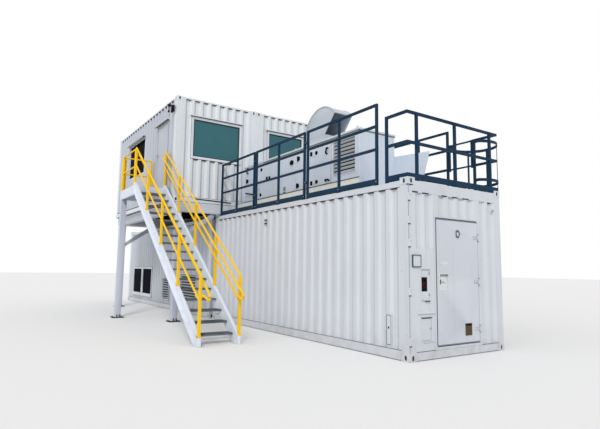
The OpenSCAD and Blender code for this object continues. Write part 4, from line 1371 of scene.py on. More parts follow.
@dataclass
class GroundDoor(SubAssembly):
    """Hinged door of the near container with its frame, seals and fittings.

    Outlines and places are in x and z, and the hinges are given by their heights.
    """

    leaf: Rect = (0.655, 1.735, 0.215, 2.25)
    gap: float = 0.008
    tray: Rect = (0.72, 0.94, 1.1, 1.35)
    tray_depth: float = 0.042
    vent: Rect = (1.335, 1.525, 0.32, 0.53)
    ring: Flat = (1.185, 2.033)
    ring_half: Flat = (0.044, 0.054)
    hinges: tuple[float, ...] = (0.425, 1.225, 1.99)

    body = Body.GROUND_DOOR

    def build(self) -> None:
        """Builds the door and what is on it."""
        self.soften(self.paint.door, 0.0025, "front_door")
        self.soften(self.paint.frame, 0.003, "front_door_frame", body=Body.BUILDING)
        self._seals()
        self._latch()
        self._vent()
        self._ring()
        self._plates()
        self._hinge_screws()

    def _seals(self) -> None:
        """Adds the seal round the leaf, the strips on the frame and the one on the sill."""
        left, right, foot, head = self.leaf
        seal = Form().trim(self.leaf, 0.001, 0.02, 0.05, 0.002, Axis.Y)
        self.add(seal, "leaf_seal", self.paint.rubber_and_shade)
        edge, back = left - self.gap, 0.001
        strip = Form()
        strip.block((edge - 0.013, -0.006, foot - self.gap), (edge - 0.001, back, head + 0.026), 0.002)
        strip.block((edge - 0.013, -0.008, head + 0.012), (right - 0.02, back, head + 0.03), 0.002)
        self.add(strip, "frame_seal", self.paint.caulk_and_shade, body=Body.BUILDING)
        sill = Form().block((edge, -0.004, foot - 0.028), (right, back, foot - 0.01), 0.002)
        self.add(sill, "sill_strip", self.paint.caulk_and_shade, body=Body.BUILDING)

    def _latch(self) -> None:
        """Builds the recessed tray with its lever, and a black strip of painted shadow under its top edge.
        """
        left, right, foot, head = self.tray
        depth, slot = self.tray_depth, "steel_fittings"
        tray = Form().trim(self.tray, 0.0, 0.0, depth, 0.004, Axis.Y)
        tray.trim(self.tray, 0.012, -0.003, 0.0, 0.014, Axis.Y)
        tray.panel(self.tray, 0.0, depth - 0.005, depth, Axis.Y)
        self.add(tray, "latch_tray", self.paint.tray, slot=slot, stands_for=("front_door_latch",))
        hand = Form(left, 0.0, foot).block((0.022, 0.012, 0.085), (0.046, 0.024, 0.165), 0.003)
        hand.block((0.016, 0.022, 0.112), (0.052, depth, 0.138), 0.003)
        self.add(hand, "latch_hand_grip", self.paint.plastic, slot=slot)
        lever = Form(left, 0.0, foot)
        lever.path([(0.034, 0.022, 0.125), (0.11, 0.02, 0.125), (0.16, 0.034, 0.11)])
        self.tube(lever, "latch_lever", self.paint.zinc, 0.012, 0.02, 12, slot=slot)
        # black strip of painted shadow under the tray's top edge
        lip = Form(0.0, 0.0, head)
        lip.block((left + 0.004, 0.003, -0.018), (right - 0.004, 0.014, -0.004), 0.002)
        self.add(lip, "latch_top_shadow", self.paint.rubber_and_shade, slot=slot)

    def _vent(self) -> None:
        """Builds the louvred vent in the leaf, with a dark block of painted shade along its top."""
        left, right, foot, head = self.vent
        slot, brown, back = "brown_grille", self.paint.brown, 0.03
        rim = Form().trim(self.vent, 0.012, -0.005, 0.0, 0.013, Axis.Y)
        self.add(rim, "door_vent_rim", self.paint.door)
        box = Form().trim(self.vent, 0.0, -0.003, back, 0.01, Axis.Y)
        box.panel(self.vent, 0.0, 0.024, back, Axis.Y)
        self.add(box, "door_vent_box", brown, slot=slot, stands_for=("front_door_vent",))
        blades = Form((left + right) / 2, 0.009, foot + 0.018)
        for i in range(6):
            blades.slab((0.0, 0.0, i * 0.0265), (right - left - 0.016, 0.022, 0.003), (0.65, 0.0, 0.0))
        self.blocks(blades, "door_vent_blades", brown, slot=slot)
        # dark block of painted shade under the rim along the vent's top
        cover = Form(0.0, 0.0, head)
        cover.block((left + 0.008, -0.002, -0.04), (right - 0.008, 0.01, -0.008), 0.002)
        self.add(cover, "door_vent_top_shade", self.paint.plastic, slot=slot)

    def _ring(self) -> None:
        """Builds the oval pull ring on its two pads."""
        (x, z), (half_w, half_h) = self.ring, self.ring_half
        count = 28
        angles = [2 * math.pi * i / count for i in range(count)]
        corners = [(half_w * math.cos(a), -0.012, half_h * math.sin(a)) for a in angles]
        oval = Form(x, 0.0, z).path(corners, closed=True)
        self.tube(oval, "pull_ring", self.paint.caulk_and_shade, 0.016, 0.0, 12)
        pads = Form(x, 0.0, z)
        for level in (-half_h, half_h):
            pads.block((-0.024, -0.02, level - 0.01), (0.024, 0.001, level + 0.01), 0.004)
        self.add(pads, "pull_ring_pads", self.paint.caulk_and_shade)

    def _plates(self) -> None:
        """Adds the blank plate on the leaf, the framed plate on the post and the knob."""
        plate = Form().block((0.733, -0.003, 1.503), (0.931, 0.001, 1.565), 0.0015)
        self.add(plate, "leaf_plate", self.paint.label)
        pins = Form()
        for x in (0.741, 0.923):
            for z in (1.511, 1.557):
                pins.spot((x, -0.0035, z), FRONTWARD)
        self.screws(pins, "leaf_plate_screws", 0.0035, 0.002, 8)
        post = (0.074, 0.268, 1.458, 1.652)
        rim = Form().trim(post, 0.0, -0.0185, -0.001, 0.013, Axis.Y)
        self.add(rim, "post_plate_rim", self.paint.caulk_and_shade, body=Body.BUILDING)
        face = Form().panel(post, -0.011, -0.0085, -0.006, Axis.Y)
        self.add(face, "post_plate_face", self.paint.label, body=Body.BUILDING)
        profile = [(0.012, 0.0), (0.012, 0.014), (0.024, 0.018), (0.026, 0.026), (0.022, 0.034)]
        knob = Form().turned(profile, (0, 0, 0), 20)
        turn = Matrix.Rotation(math.radians(90), 4, "X")
        knob.mesh.transform(Matrix.Translation((2.19, 0.009, 2.509)) @ turn)
        self.add(knob, "post_knob", self.paint.zinc, body=Body.BUILDING)

    def _hinge_screws(self) -> None:
        """Puts screws on the hinge straps and caps on the pins."""
        edge = self.leaf[1]
        straps, caps = Form(), Form()
        for z in self.hinges:
            for x in (edge - 0.035, edge - 0.075, edge - 0.125):
                for side in (-1, 1):
                    straps.spot((x, -0.0075, z + side * 0.016), FRONTWARD)
            for side in (-1, 1):
                caps.spot((edge + 0.004, -0.02, z + side * 0.0565), (0.0, 0.0, float(side)))
        self.screws(straps, "strap_screws", 0.007, 0.005)
        self.screws(caps, "pin_caps", 0.009, 0.006, 16, self.paint.rubber_and_shade, body=Body.BUILDING)


@dataclass
class DoorSide(SubAssembly):
    """Cabinet with the extinguisher and the hatches left of the door.

    Outlines are in x and z, and the bottle is given by the middle of its foot.
    """

    window: Rect = (0.294, 0.432, 1.076, 1.299)
    bottle: Point = (0.387, 0.095, 0.926)
    hatch: Rect = (0.276, 0.516, 0.304, 0.656)

    def build(self) -> None:
        """Builds the cabinet, the bottle and the hatches."""
        self.soften(self.paint.wall, 0.002, "extinguisher_cabinet", "end_hatches")
        self._cabinet()
        self._bottle()
        self._hatch()

    def _cabinet(self) -> None:
        """Darkens the inside of the cabinet with painted shade and trims its window and handle."""
        low, high = extent("extinguisher_cabinet")
        rim = 0.006
        x0, x1, z0, z1 = inside = (low.x + rim, high.x - rim, low.z + rim, high.z - rim)
        # black lining: painted shade inside the cabinet
        inside_shade = Form().trim(inside, 0.0, 0.0225, 0.183, 0.0015, Axis.Y)
        inside_shade.panel(inside, 0.0, 0.181, 0.183, Axis.Y)
        self.add(inside_shade, "cabinet_inside_shade", self.paint.rubber_and_shade)
        seal = Form().trim(self.window, 0.002, 0.0145, 0.0165, 0.0065, Axis.Y)
        self.add(seal, "cabinet_window_seal", self.paint.caulk_and_shade)
        pane = Form().panel(self.window, 0.0, 0.018, 0.02, Axis.Y)
        self.add(pane, "cabinet_pane", self.paint.smoked_pane)
        # brown strips of painted shade along the top, left and bottom inside the recess
        gap, back = Form(), 0.016
        gap.block((x0, 0.004, z1 - 0.008), (x1, back, z1))
        gap.block((x0, 0.01, z0), (x0 + 0.004, back, z1))
        gap.block((x0, 0.01, z0), (x1, back, z0 + 0.004))
        self.add(gap, "cabinet_recess_shade", self.paint.rust_and_shade)
        z, start, end, grip = 0.915, 0.362, 0.462, -0.018
        handle = Form().path([(start, 0.001, z), (start, grip, z), (end, grip, z), (end, 0.001, z)])
        self.tube(handle, "cabinet_handle", self.paint.plastic, 0.012, 0.012, 10)
        lip = Form().block((0.3, -0.01, 0.934), (x1 - 0.002, 0.008, 0.948), 0.002)
        self.add(lip, "cabinet_lip", self.paint.cabin)
        hooks = Form()
        for z in (1.02, 1.36):
            hooks.block((x1 - 0.03, 0.006, z - 0.02), (x1 - 0.002, 0.017, z + 0.02), 0.002)
        self.add(hooks, "cabinet_hinges", self.paint.zinc)

    def _bottle(self) -> None:
        """Builds the bottle with its valve, levers, hose and band."""
        slot, place = "red_paint", self.bottle
        profile = [
            (0.052, 0.0), (0.059, 0.005), (0.06, 0.012), (0.06, 0.262), (0.057, 0.285), (0.047, 0.308),
            (0.032, 0.324), (0.021, 0.332), (0.019, 0.352),
        ]
        bottle = Form().turned(profile, place, 40)
        self.add(bottle, "bottle", self.paint.red, slot=slot, stands_for=("extinguisher",), smooth=50.0)
        profile = [(0.023, 0.344), (0.025, 0.35), (0.025, 0.366), (0.016, 0.372), (0.014, 0.388)]
        self.add(Form().turned(profile, place, 20), "bottle_neck", self.paint.zinc, slot=slot)
        levers = Form()
        levers.block((0.377, 0.035, 1.304), (0.397, 0.118, 1.316), 0.003)
        levers.block((0.377, 0.028, 1.326), (0.397, 0.11, 1.334), 0.003)
        levers.block((0.38, 0.092, 1.31), (0.394, 0.108, 1.332), 0.002)
        self.add(levers, "bottle_levers", self.paint.plastic, slot=slot)
        hose = Form().path([
            (0.405, 0.095, 1.29), (0.452, 0.09, 1.296), (0.463, 0.085, 1.22), (0.458, 0.082, 1.06),
            (0.452, 0.08, 0.99),
        ])
        self.tube(hose, "bottle_hose", self.paint.rubber_and_shade, 0.018, 0.03, 12, slot=slot)
        band = Form().turned([(0.0612, 0.1), (0.0612, 0.2)], place, 40)
        self.add(band, "bottle_band", self.paint.rubber_and_shade, slot=slot)
        gauge = Form().rod((0.387, 0.066, 1.285), (0.387, 0.074, 1.285), 0.013, 20)
        self.add(gauge, "bottle_gauge", self.paint.lens, slot=slot)

    def _hatch(self) -> None:
        """Adds the leaf of the low hatch, its catch and the ledges above and below it."""
        x0, x1, z0, z1 = self.hatch
        leaf = Form().block((x0 + 0.004, 0.014, z0 + 0.004), (x1 - 0.004, 0.022, z1 - 0.008), 0.002)
        self.add(leaf, "hatch_leaf", self.paint.door)
        gap = Form().trim(self.hatch, 0.0, 0.018, 0.031, 0.012, Axis.Y)
        # dark line of painted shadow above the hatch
        gap.block((x0 - 0.012, -0.004, z1 + 0.004), (x1 + 0.012, 0.004, z1 + 0.014))
        self.add(gap, "hatch_gap_and_shadow", self.paint.caulk_and_shade)
        x, z = x1 - 0.03, 0.49
        catch = Form().rod((x, 0.015, z), (x, 0.006, z), 0.014, 20)
        catch.block((x - 0.014, 0.002, z - 0.003), (x + 0.014, 0.008, z + 0.003), 0.001)
        self.add(catch, "hatch_catch", self.paint.zinc)
        end = 0.596
        slope = [(-0.016, 0.735), (0.009, 0.755), (0.009, 0.727), (-0.016, 0.727)]
        ledge = Form().prism(slope, Axis.X, 0.194, end)
        ledge.block((0.33, -0.006, 0.274), (end, 0.006, 0.288), 0.002)
        self.add(ledge, "hatch_ledge", self.paint.wall)


@dataclass
class RearSide(SubAssembly):
    """Window and louvres of the rear container.

    The window frame has bars and a wider mullion, and the louvres' outlines are in y and z.
    """

    bar: float = 0.07
    mullion: float = 0.18
    louvres: tuple[Rect, ...] = ((8.6, 9.98, 0.4, 1.23), (11.0, 11.74, 0.28, 1.08))

    def build(self) -> None:
        """Builds the openings of the rear container."""
        self.soften(self.paint.wall, 0.003, "rear_window_frame")
        # black pane: painted shade of the room behind it
        self.dress(self.paint.interior_shade_pane, "rear_window_glass")
        self.dress(self.paint.wall, "rear_louvres")
        self._window()
        self._louvre_back_shades()

    def _window(self) -> None:
        """Adds pane seals, the sill, the latch and the drip strip."""
        low, high = extent("rear_window_frame")
        y0, y1, z0, z1 = low.y, high.y, low.z, high.z
        middle = (y0 + y1) / 2
        seals = Form()
        for start, end in (
            (y0 + self.bar, middle - self.mullion / 2), (middle + self.mullion / 2, y1 - self.bar),
        ):
            pane = (start, end, z0 + self.bar, z1 - self.bar)
            seals.trim(pane, 0.0, 0.03, 0.038, 0.012, Axis.X)
        self.add(seals, "rear_pane_seals", self.paint.rubber_and_shade, slot="dark_glass")
        slope = [(-0.014, z0 - 0.045), (0.009, z0 - 0.045), (0.009, z0 + 0.014), (-0.014, z0 - 0.01)]
        sill = Form().prism(slope, Axis.Y, y0 - 0.02, y1 + 0.02)
        self.add(sill, "rear_window_sill", self.paint.wall)
        gap = Form().block((0.003, y0 - 0.004, z0 - 0.05), (0.0085, y1 + 0.004, z0 - 0.045))
        gap.trim((y0, y1, z0, z1), 0.006, 0.004, 0.0085, 0.006, Axis.X)
        self.add(gap, "rear_window_gap", self.paint.caulk_and_shade)
        latch = Form().block((-0.012, middle - 0.045, 0.8), (0.003, middle - 0.015, 0.9), 0.003)
        latch.block((-0.022, middle - 0.038, 0.835), (-0.01, middle + 0.03, 0.855), 0.003)
        self.add(latch, "rear_window_latch", self.paint.grey_and_leg_shade)

    def _louvre_back_shades(self) -> None:
        """Paints shade behind the louvre blades with dark plates and trims their frames."""
        back_shades, rims = Form(), Form()
        for louvre in self.louvres:
            back_shades.panel(louvre, -0.03, 0.062, 0.074, Axis.X)
            rims.trim(louvre, 0.006, 0.003, 0.0085, 0.006, Axis.X)
        self.add(back_shades, "louvre_back_shades", self.paint.rubber_and_shade)
        self.add(rims, "louvre_seams", self.paint.caulk_and_shade)


# Upper cabin


@dataclass
class UpperCabin(SubAssembly):
    """Cabin of two modules on beams.

    Left and front are its outer faces. The outlines of the front windows are in x and z, those of
    the side window, the door and the lamp's head in y and z. The lamp's slope is in degrees.
    """

    left: float = CABIN_LEFT.x
    front: float = CABIN_LEFT.y
    inset: float = 0.027
    windows: tuple[Rect, ...] = ((-0.922, 0.61, 4.37, 5.54), (1.475, 2.795, 4.37, 5.54))
    frame_bar: float = 0.066
    side_window: Rect = (9.97, 11.69, 4.37, 5.54)
    door: Rect = (7.69, 8.62, 3.55, 5.5)
    hinges: tuple[float, ...] = (3.8, 4.52, 5.25)
    lamp: Rect = (7.15, 7.28, 5.6, 5.785)
    lamp_arm: float = 0.5
    lamp_slope: float = 20.0

    def build(self) -> None:
        """Builds the cabin's shell, windows, door, hoods and lamp."""
        self.dress(self.paint.cabin, "cabin_blank_walls", "cabin_roof")
        # painted shade on one slope of each hollow of the cabin front
        self.dress(self.paint.cabin_front, "cabin_front_wall")
        # darker paint: painted shade on the cabin's left side
        self.dress(self.paint.shaded_cabin_side, "cabin_left_wall")
        # black underside: tar coating and painted shade under the cabin
        self.dress(self.paint.vinyl, "cabin_floor")
        self.dress(self.paint.teal_pane, "cabin_glass")
        # black pane: painted shade of the room behind it
        self.dress(self.paint.interior_shade_pane, "cabin_side_glass")
        frames = ("cabin_rails", "cabin_corner_posts", "cabin_window_frames", "cabin_rain_hoods")
        self.soften(self.paint.cabin, 0.003, *frames)
        # darker paint: painted shade on the door in the cabin's left side
        self.soften(self.paint.cabin_door, 0.003, "cabin_door")
        self.soften(self.paint.frame, 0.003, "cabin_beams")
        self._hollow_shadows()
        self._seams()
        self._window_trim()
        self._door_trim()
        self._lamp()

    def _hollow_shadows(self) -> None:
        """Paints the shadow under the roof rail and under the windows as a dark block in each hollow of the
        sheets.
        """
        shadow_dashes = Form()
        end_size = (0.13, 0.036, 0.018)
        for y in CABIN_LEFT.side_hollows():
            for x in (self.left + self.inset, CABIN_RIGHT.right - self.inset):
                shadow_dashes.slab((x, y, 5.984), (0.036, 0.19, 0.034))
        for module in CABIN_MODULES:
            for x in module.end_hollows():
                for y in (module.y + self.inset, module.far - self.inset):
                    shadow_dashes.slab((x, y, 5.99), end_size)
                if any(window[0] - 0.028 < x < window[1] + 0.025 for window in self.windows):
                    shadow_dashes.slab((x, self.front + self.inset, 4.352), end_size)
        self.blocks(shadow_dashes, "cabin_top_shadows", self.paint.hollow_shadow)

    def _seams(self) -> None:
        """Adds a dark board of painted shade between the beams, the floor seams and the cover of the module
        joint.
        """
        seams, y, z = Form(), self.front, CABIN_LEFT.z
        x0, x1 = self.left + 0.003, self.left + 0.0085
        for z0, z1 in ((z + 0.15, z + 0.176), (z + 0.002, z + 0.026)):
            seams.block((x0, y + CABIN_LEFT.casting_l, z0), (x1, CABIN_LEFT.far - CABIN_LEFT.casting_l, z1))
        shade_board = Form().block((1.072, y + 0.21, 2.93), (1.076, 12.64, 3.13), 0.001)
        self.add(shade_board, "beam_shade_board", self.paint.rubber_and_shade)
        for module in CABIN_MODULES:
            x0, x1 = module.x + module.casting_w, module.right - module.casting_w
            seams.block((x0, y + 0.004, z + 0.14), (x1, y + 0.0085, z + 0.146))
        self.add(seams, "cabin_floor_seams", self.paint.caulk_and_shade)
        cover = Form(0.0, y).block((1.06, 0.001, 3.276), (1.106, 0.0075, 5.932), 0.002)
        self.add(cover, "module_joint_cover", self.paint.cabin)
        tie = Form(0.0, y).path([(-0.773, 0.003, 3.262), (0.334, 0.003, 3.236)])
        self.tube(tie, "front_band_strip", self.paint.plastic, 0.03, 0.0, 10)

    def _window_trim(self) -> None:
        """Adds the pane seals, the gaps round the frames, painted hood shadows on the frames' top bars and
        the hoods' undersides, painted a rusty brown that also stands in for their shade.
        """
        seals, gaps, shade, top_shadows = Form(), Form(), Form(), Form()
        bar, y, x = self.frame_bar, self.front, self.left
        for window in self.windows:
            x0, x1, _, top = window
            seals.trim(window, -bar, y + 0.012, y + 0.031, 0.024, Axis.Y)
            # painted shadow of the hood on the frame's top bar
            start, end = (x0 + 0.015, y - 0.003, top - bar + 0.002), (x1 - 0.015, y + 0.004, top - 0.006)
            top_shadows.block(start, end, 0.001)
            gaps.trim(window, 0.007, y + 0.003, y + 0.0085, 0.007, Axis.Y)
            # rusty brown undersides of the hoods, also painted shade
            shade.block((x0 - 0.035, y - 0.04, top + 0.003), (x1 + 0.035, y - 0.001, top + 0.007))
        y0, y1, foot, top = self.side_window
        seals.trim(self.side_window, -0.04, x + 0.041, x + 0.053, 0.016, Axis.X)
        shade.block((x - 0.06, y0 - 0.04, top + 0.006), (x - 0.001, y1 + 0.05, top + 0.01))
        shade.block((x - 0.06, 7.645, 5.506), (x - 0.003, 8.665, 5.51))
        shade.block((x - 0.072, 7.632, 5.474), (x - 0.067, 8.678, 5.503), 0.001)
        # strip of painted shade below the side window's hood
        top_shadows.block((x - 0.072, y0 - 0.048, top - 0.048), (x - 0.067, y1 + 0.058, top + 0.003), 0.001)
        self.add(seals, "cabin_pane_seals", self.paint.rubber_and_shade)
        self.add(top_shadows, "window_top_shadows", self.paint.shade)
        self.add(gaps, "cabin_window_gaps", self.paint.caulk_and_shade)
        self.add(shade, "hood_underside_shadows", self.paint.rust_and_shade)
        post = Form(x, (y0 + y1) / 2).block((0.03, -0.018, foot + 0.04), (0.05, 0.018, top - 0.04), 0.003)
        self.add(post, "side_window_bar", self.paint.plastic, slot="dark_glass")

    def _door_trim(self) -> None:
        """Adds the outline, hinges and lever of the upper door."""
        start, end = self.door[:2]
        gap = Form(self.left).trim(self.door, -0.041, 0.004, 0.0125, 0.006, Axis.X)
        self.add(gap, "upper_door_gap", self.paint.caulk_and_shade)
        plate = Form(self.left, end, 4.6).block((-0.004, -0.115, -0.1), (0.009, -0.075, 0.1), 0.003)
        self.add(plate, "upper_door_plate", self.paint.zinc)
        lever = Form(self.left, end - 0.095, 4.62)
        lever.path([(0.002, 0.0, 0.0), (-0.048, 0.0, 0.0), (-0.05, -0.12, 0.0)])
        self.tube(lever, "upper_door_lever", self.paint.zinc, 0.018, 0.02, 12)
        pins = Form(self.left, start)
        for z in self.hinges:
            pins.rod((-0.006, 0.043, z - 0.05), (-0.006, 0.043, z + 0.05), 0.01, 14)
            pins.block((-0.003, 0.02, z - 0.045), (0.009, 0.1, z + 0.045), 0.002)
        self.add(pins, "upper_door_hinges", self.paint.cabin_door)

    def _lamp(self) -> None:
        """Builds the floodlight on its sloping arm near the corner."""
        black, slot = self.paint.plastic, "black_plastic"
        slope, foot = math.radians(self.lamp_slope), Vector((-0.03, 7.69, 5.945))
        tip = foot + self.lamp_arm * Vector((0.0, -math.cos(slope), -math.sin(slope)))
        mount = Form(self.left).block((-0.012, 7.58, 5.895), (0.008, 7.74, 5.985), 0.003)
        mount.block((-0.044, foot.y - 0.018, foot.z - 0.024), (-0.01, foot.y + 0.03, foot.z + 0.024), 0.004)
        mount.rod(tuple(foot), tuple(tip), 0.024, 14)
        mount.block((-0.052, tip.y - 0.014, tip.z - 0.03), (-0.012, tip.y + 0.014, tip.z + 0.026), 0.004)
        self.add(mount, "lamp_bracket", black, slot=slot, stands_for=("floodlight",))
        y0, y1, z0, _ = self.lamp
        head = Form(self.left).panel(self.lamp, 0.0, -0.07, -0.034, Axis.X, 0.006)
        for step in range(7):
            z = z0 + 0.02 + step * 0.028
            head.block((-0.038, y0 + 0.01, z), (-0.022, y1 - 0.01, z + 0.006))
        self.add(head, "lamp_head", black, slot=slot)
        bezel = Form(self.left).trim(self.lamp, 0.003, -0.078, -0.066, 0.014, Axis.X)
        self.add(bezel, "lamp_bezel", black, slot=slot)
        lens = Form(self.left).panel(self.lamp, -0.01, -0.074, -0.066, Axis.X)
        self.add(lens, "lamp_lens", self.paint.lens, slot=slot)
        box = Form(self.left, 7.67).block((-0.03, -0.035, 5.728), (0.003, 0.035, 5.786), 0.005)
        box.rod((-0.012, 0.0, 5.78), (-0.012, 0.0, 5.9), 0.008, 10)
        self.add(box, "lamp_switch_box", black, slot=slot)


# Stair and landing


@dataclass
class OutsideStair(SubAssembly):
    """Stair, landing, legs and yellow rails.

    Outer and inner are the faces of the stair, nose is its foot along y, and steps counts its rises.
    The grate pitch is the spacing of the bearing bars and of the cross bars. Plate and post are half
    widths, rail is a diameter, and grab is how far a grab rail lies inside and below the handrail.
    """

    outer: float = -2.25
    inner: float = -1.4
    nose: float = 2.828
    going: float = 0.264
    steps: int = 18
    stringer: float = 0.066
    landing: Flat = (7.58, 8.92)
    grate_pitch: Flat = (0.034, 0.06)
    plate: float = 0.15
    legs: tuple[Flat, ...] = (
        (-1.17, 7.15), (3.336, 7.15), (-1.17, 12.748), (3.336, 12.748), (-2.175, 8.845),
    )
    post: float = 0.025
    rail: float = 0.042
    grab: Flat = (0.07, 0.15)

    slot = "pale_grey_paint"

    @property
    def rise(self) -> float:
        """Returns the height of one step."""
        return LANDING_Z / self.steps

    def build(self) -> None:
        """Builds the stair and its landing."""
        self.soften(self.paint.stair, 0.003, "stair_stringers", "landing_frame")
        # darker grey: painted shade on the legs
        self.soften(self.paint.grey_and_leg_shade, 0.003, "support_legs")
        self._treads()
        self._deck()
        self._foot_plates()
        self._stair_rails()
        self._landing_guard()
        self._bolts()

    def _grate(self, bars: Form, low: Point, high: Point) -> None:
        """Adds the bearing bars and cross bars of one grating.

        Args:
            bars: Form that gets the guide points.
            low: Lowest corner of the grating.
            high: Highest corner of the grating.
        """
        x, y, z = ((a + b) / 2 for a, b in zip(low, high))
        width, length, depth = (b - a for a, b in zip(low, high))
        pitch, cross = self.grate_pitch
        bar, end = 0.006, 0.004
        count = max(2, round((length - 0.02) / pitch))
        for i in range(count + 1):
            along = low[1] + end + i * (length - 2 * end) / count
            bars.slab((x, along, z), (width, 0.004, depth))
        count = round(width / cross)
        for i in range(1, count):
            across = low[0] + i * width / count
            bars.slab((across, y, high[2] - bar), (bar, length - 2 * end, bar))

    def _treads(self) -> None:
        """Builds the treads as gratings with end plates and a raised nosing."""
        bars, plates = Form(), Form()
        x0, x1 = self.outer + self.stringer, self.inner - self.stringer
        plate, overlap = 0.006, 0.01
        for i in range(1, self.steps):
            y0, top = self.nose + i * self.going, i * self.rise
            y1, foot = y0 + self.going - overlap, top - 0.038
            self._grate(bars, (x0 + plate, y0 + 0.03, top - 0.034), (x1 - plate, y1, top))
            plates.block((x0, y0, foot), (x0 + plate, y1, top))
            plates.block((x1 - plate, y0, foot), (x1, y1, top))
            plates.block((x0, y0, foot), (x1, y0 + plate, top))
            plates.block((x0, y0, top - 0.006), (x1, y0 + 0.032, top))
            for y in (y0 + 0.005, y0 + 0.014, y0 + 0.023):
                plates.block((x0 + 0.01, y, top - 0.001), (x1 - 0.01, y + 0.004, top + 0.0015))
        zinc, slot = self.paint.grating, "dark_grating"
        self.blocks(bars, "tread_gratings", zinc, slot=slot, stands_for=("stair_treads",))
        self.add(plates, "tread_plates", zinc, slot=slot)

    def _deck(self) -> None:
        """Builds the landing's grating in two panels with its edge bars."""
        low, high = extent("landing_deck")
        bars, edges = Form(), Form()
        middle, gap = (low.y + high.y) / 2, 0.003
        for y0, y1 in ((low.y, middle), (middle, high.y)):
            y0, y1 = y0 + gap, y1 - gap
            edges.ring_frame((low.x, y0, low.z), (high.x, y1, high.z), 0.006, Axis.Z)
            start, end = (low.x + 0.004, y0 + 0.02, low.z), (high.x - 0.004, y1 - 0.02, high.z)
            self._grate(bars, start, end)
        zinc, slot = self.paint.grating, "dark_grating"
        self.blocks(bars, "deck_grating", zinc, slot=slot, stands_for=("landing_deck",))
        self.add(edges, "deck_edges", zinc, slot=slot)

    def _foot_plates(self) -> None:
        """Covers the legs' base plates in dark paint, bolts them down and adds their gussets."""
        plates, bolts = Form(), Form()
        reach, half = self.plate, self.plate / 2
        for x, y in self.legs:
            for low, high in (
                ((x - reach, y - reach), (x + reach, y - half)),
                ((x - reach, y + half), (x + reach, y + reach)),
                ((x - reach, y - half), (x - half, y + half)),
                ((x + half, y - half), (x + reach, y + half)),
            ):
                plates.block((*low, 0.02), (*high, 0.0212))
            low, high = (x - reach, y - reach, 0.0), (x + reach, y + reach, 0.021)
            plates.ring_frame(low, high, 0.002, Axis.Z)
            for side_x in (-1, 1):
                for side_y in (-1, 1):
                    bolts.spot((x + side_x * 0.115, y + side_y * 0.115, 0.03), UPWARD)
                    gx, gy = x + side_x * 0.04, y + side_y * 0.1
                    plates.block((gx - 0.004, gy - 0.022, 0.02), (gx + 0.004, gy + 0.022, 0.095), 0.001)
        self.add(plates, "foot_plate_covers", self.paint.plate)
        self.screws(bolts, "foot_plate_bolts", 0.016, 0.018)

    def _nose_height(self, y: float) -> float:
        """Returns the height of the line of noses at a place along y."""
        return (y - self.nose) * self.rise / self.going

    def _post(self, form: Form, place: Flat, foot: float, top: float, shoe: Point) -> None:
        """Adds a square post with a shoe round its foot.

        Args:
            form: Form that gets the post.
            place: Middle of the post.
            foot: Its foot.
            top: Its head.
            shoe: How far the shoe stands out along x and y, and its height.
        """
        x, y = place
        half_x, half_y, height = self.post + shoe[0], self.post + shoe[1], shoe[2]
        form.block((x - self.post, y - self.post, foot), (x + self.post, y + self.post, top), 0.004)
        soften = 0.003 if height > 0.02 else 0.002
        form.block((x - half_x, y - half_y, foot), (x + half_x, y + half_y, foot + height), soften)

    def _stair_rails(self) -> None:
        """Builds the posts, the rails, the inner grab rails and their brackets."""
        half, up, play, last = self.post, 0.13, 0.004, 4
        inward, drop = self.grab
        y0, y1 = self.nose + 0.052 + half + play, self.landing[0] - half - play
        low, high = self._nose_height(y0) + up, LANDING_Z + 0.06
        rise0, rise1 = 1.08, 0.93
        top0, top1 = low + rise0, high + rise1
        slope = (top1 - top0) / (y1 - y0)
        tip, end = y0 - 0.3, y1 + 0.02
        grab = top0 - drop - 0.3 * slope
        rails, posts, arms = Form(), Form(), Form()
        for x, arm in ((self.outer + half + play, inward), (self.inner - half - play, -inward)):
            side = x + arm
            rails.path([(x, y0 - play, top0 - 0.11), (x, y0 - play, top0), (x, end, top1 + 0.02 * slope)])
            rails.path([(x, y0, low + rise0 * 0.56), (x, y1, high + rise1 * 0.52)])
            rails.path([
                (side, end, top1 - drop), (side, tip, grab), (side, tip + 0.04, grab - 0.085),
                (side, y0, grab), (x, y0, grab),
            ])
            for i in range(last + 1):
                y = y0 + i * (y1 - y0) / last
                top = top0 + i * (top1 - top0) / last
                foot = high if i == last else self._nose_height(y) + up - 0.024
                self._post(posts, (x, y), foot, top - 0.005, (0.004, 0.008, 0.055))
                arms.path([(x, y, top - drop - 0.05), (side, y, top - drop - 0.05), (side, y, top - drop)])
        paint, slot, solids = self.paint.yellow, "yellow_paint", ("stair_handrails",)
        self.tube(rails, "stair_rails", paint, self.rail, 0.06, 20, slot=slot, stands_for=solids)
        self.tube(arms, "grab_rail_arms", paint, 0.016, 0.03, 10, slot=slot)
        self.add(posts, "stair_posts", paint, slot=slot)

    def _landing_guard(self) -> None:
        """Builds the landing's guard with bent rails and footed posts."""
        inset, height = self.post + 0.002, 0.98
        x0, x1 = self.outer + inset, CABIN_LEFT.x - 0.06
        y0, y1 = self.landing[0] + inset, self.landing[1] - inset
        top = LANDING_Z + height
        rails, posts = Form(), Form()
        for z in (LANDING_Z + height * 0.52, top):
            rails.path([(x0, y0 - 0.02, z), (x0, y1, z), (x1 + 0.02, y1, z)])
        corner = (x0, y1)
        for place in ((x0, y0), (x0, y1 - 0.07), corner, (x0 + 0.07, y1), (x1, y1)):
            head = top - (0.03 if place == corner else 0.005)
            self._post(posts, place, LANDING_Z, head, (0.002, 0.002, 0.012))
        paint, slot, solids = self.paint.yellow, "yellow_paint", ("landing_guard",)
        self.tube(rails, "landing_rails", paint, self.rail, 0.07, 20, slot=slot, stands_for=solids)
        self.add(posts, "landing_posts", paint, slot=slot)

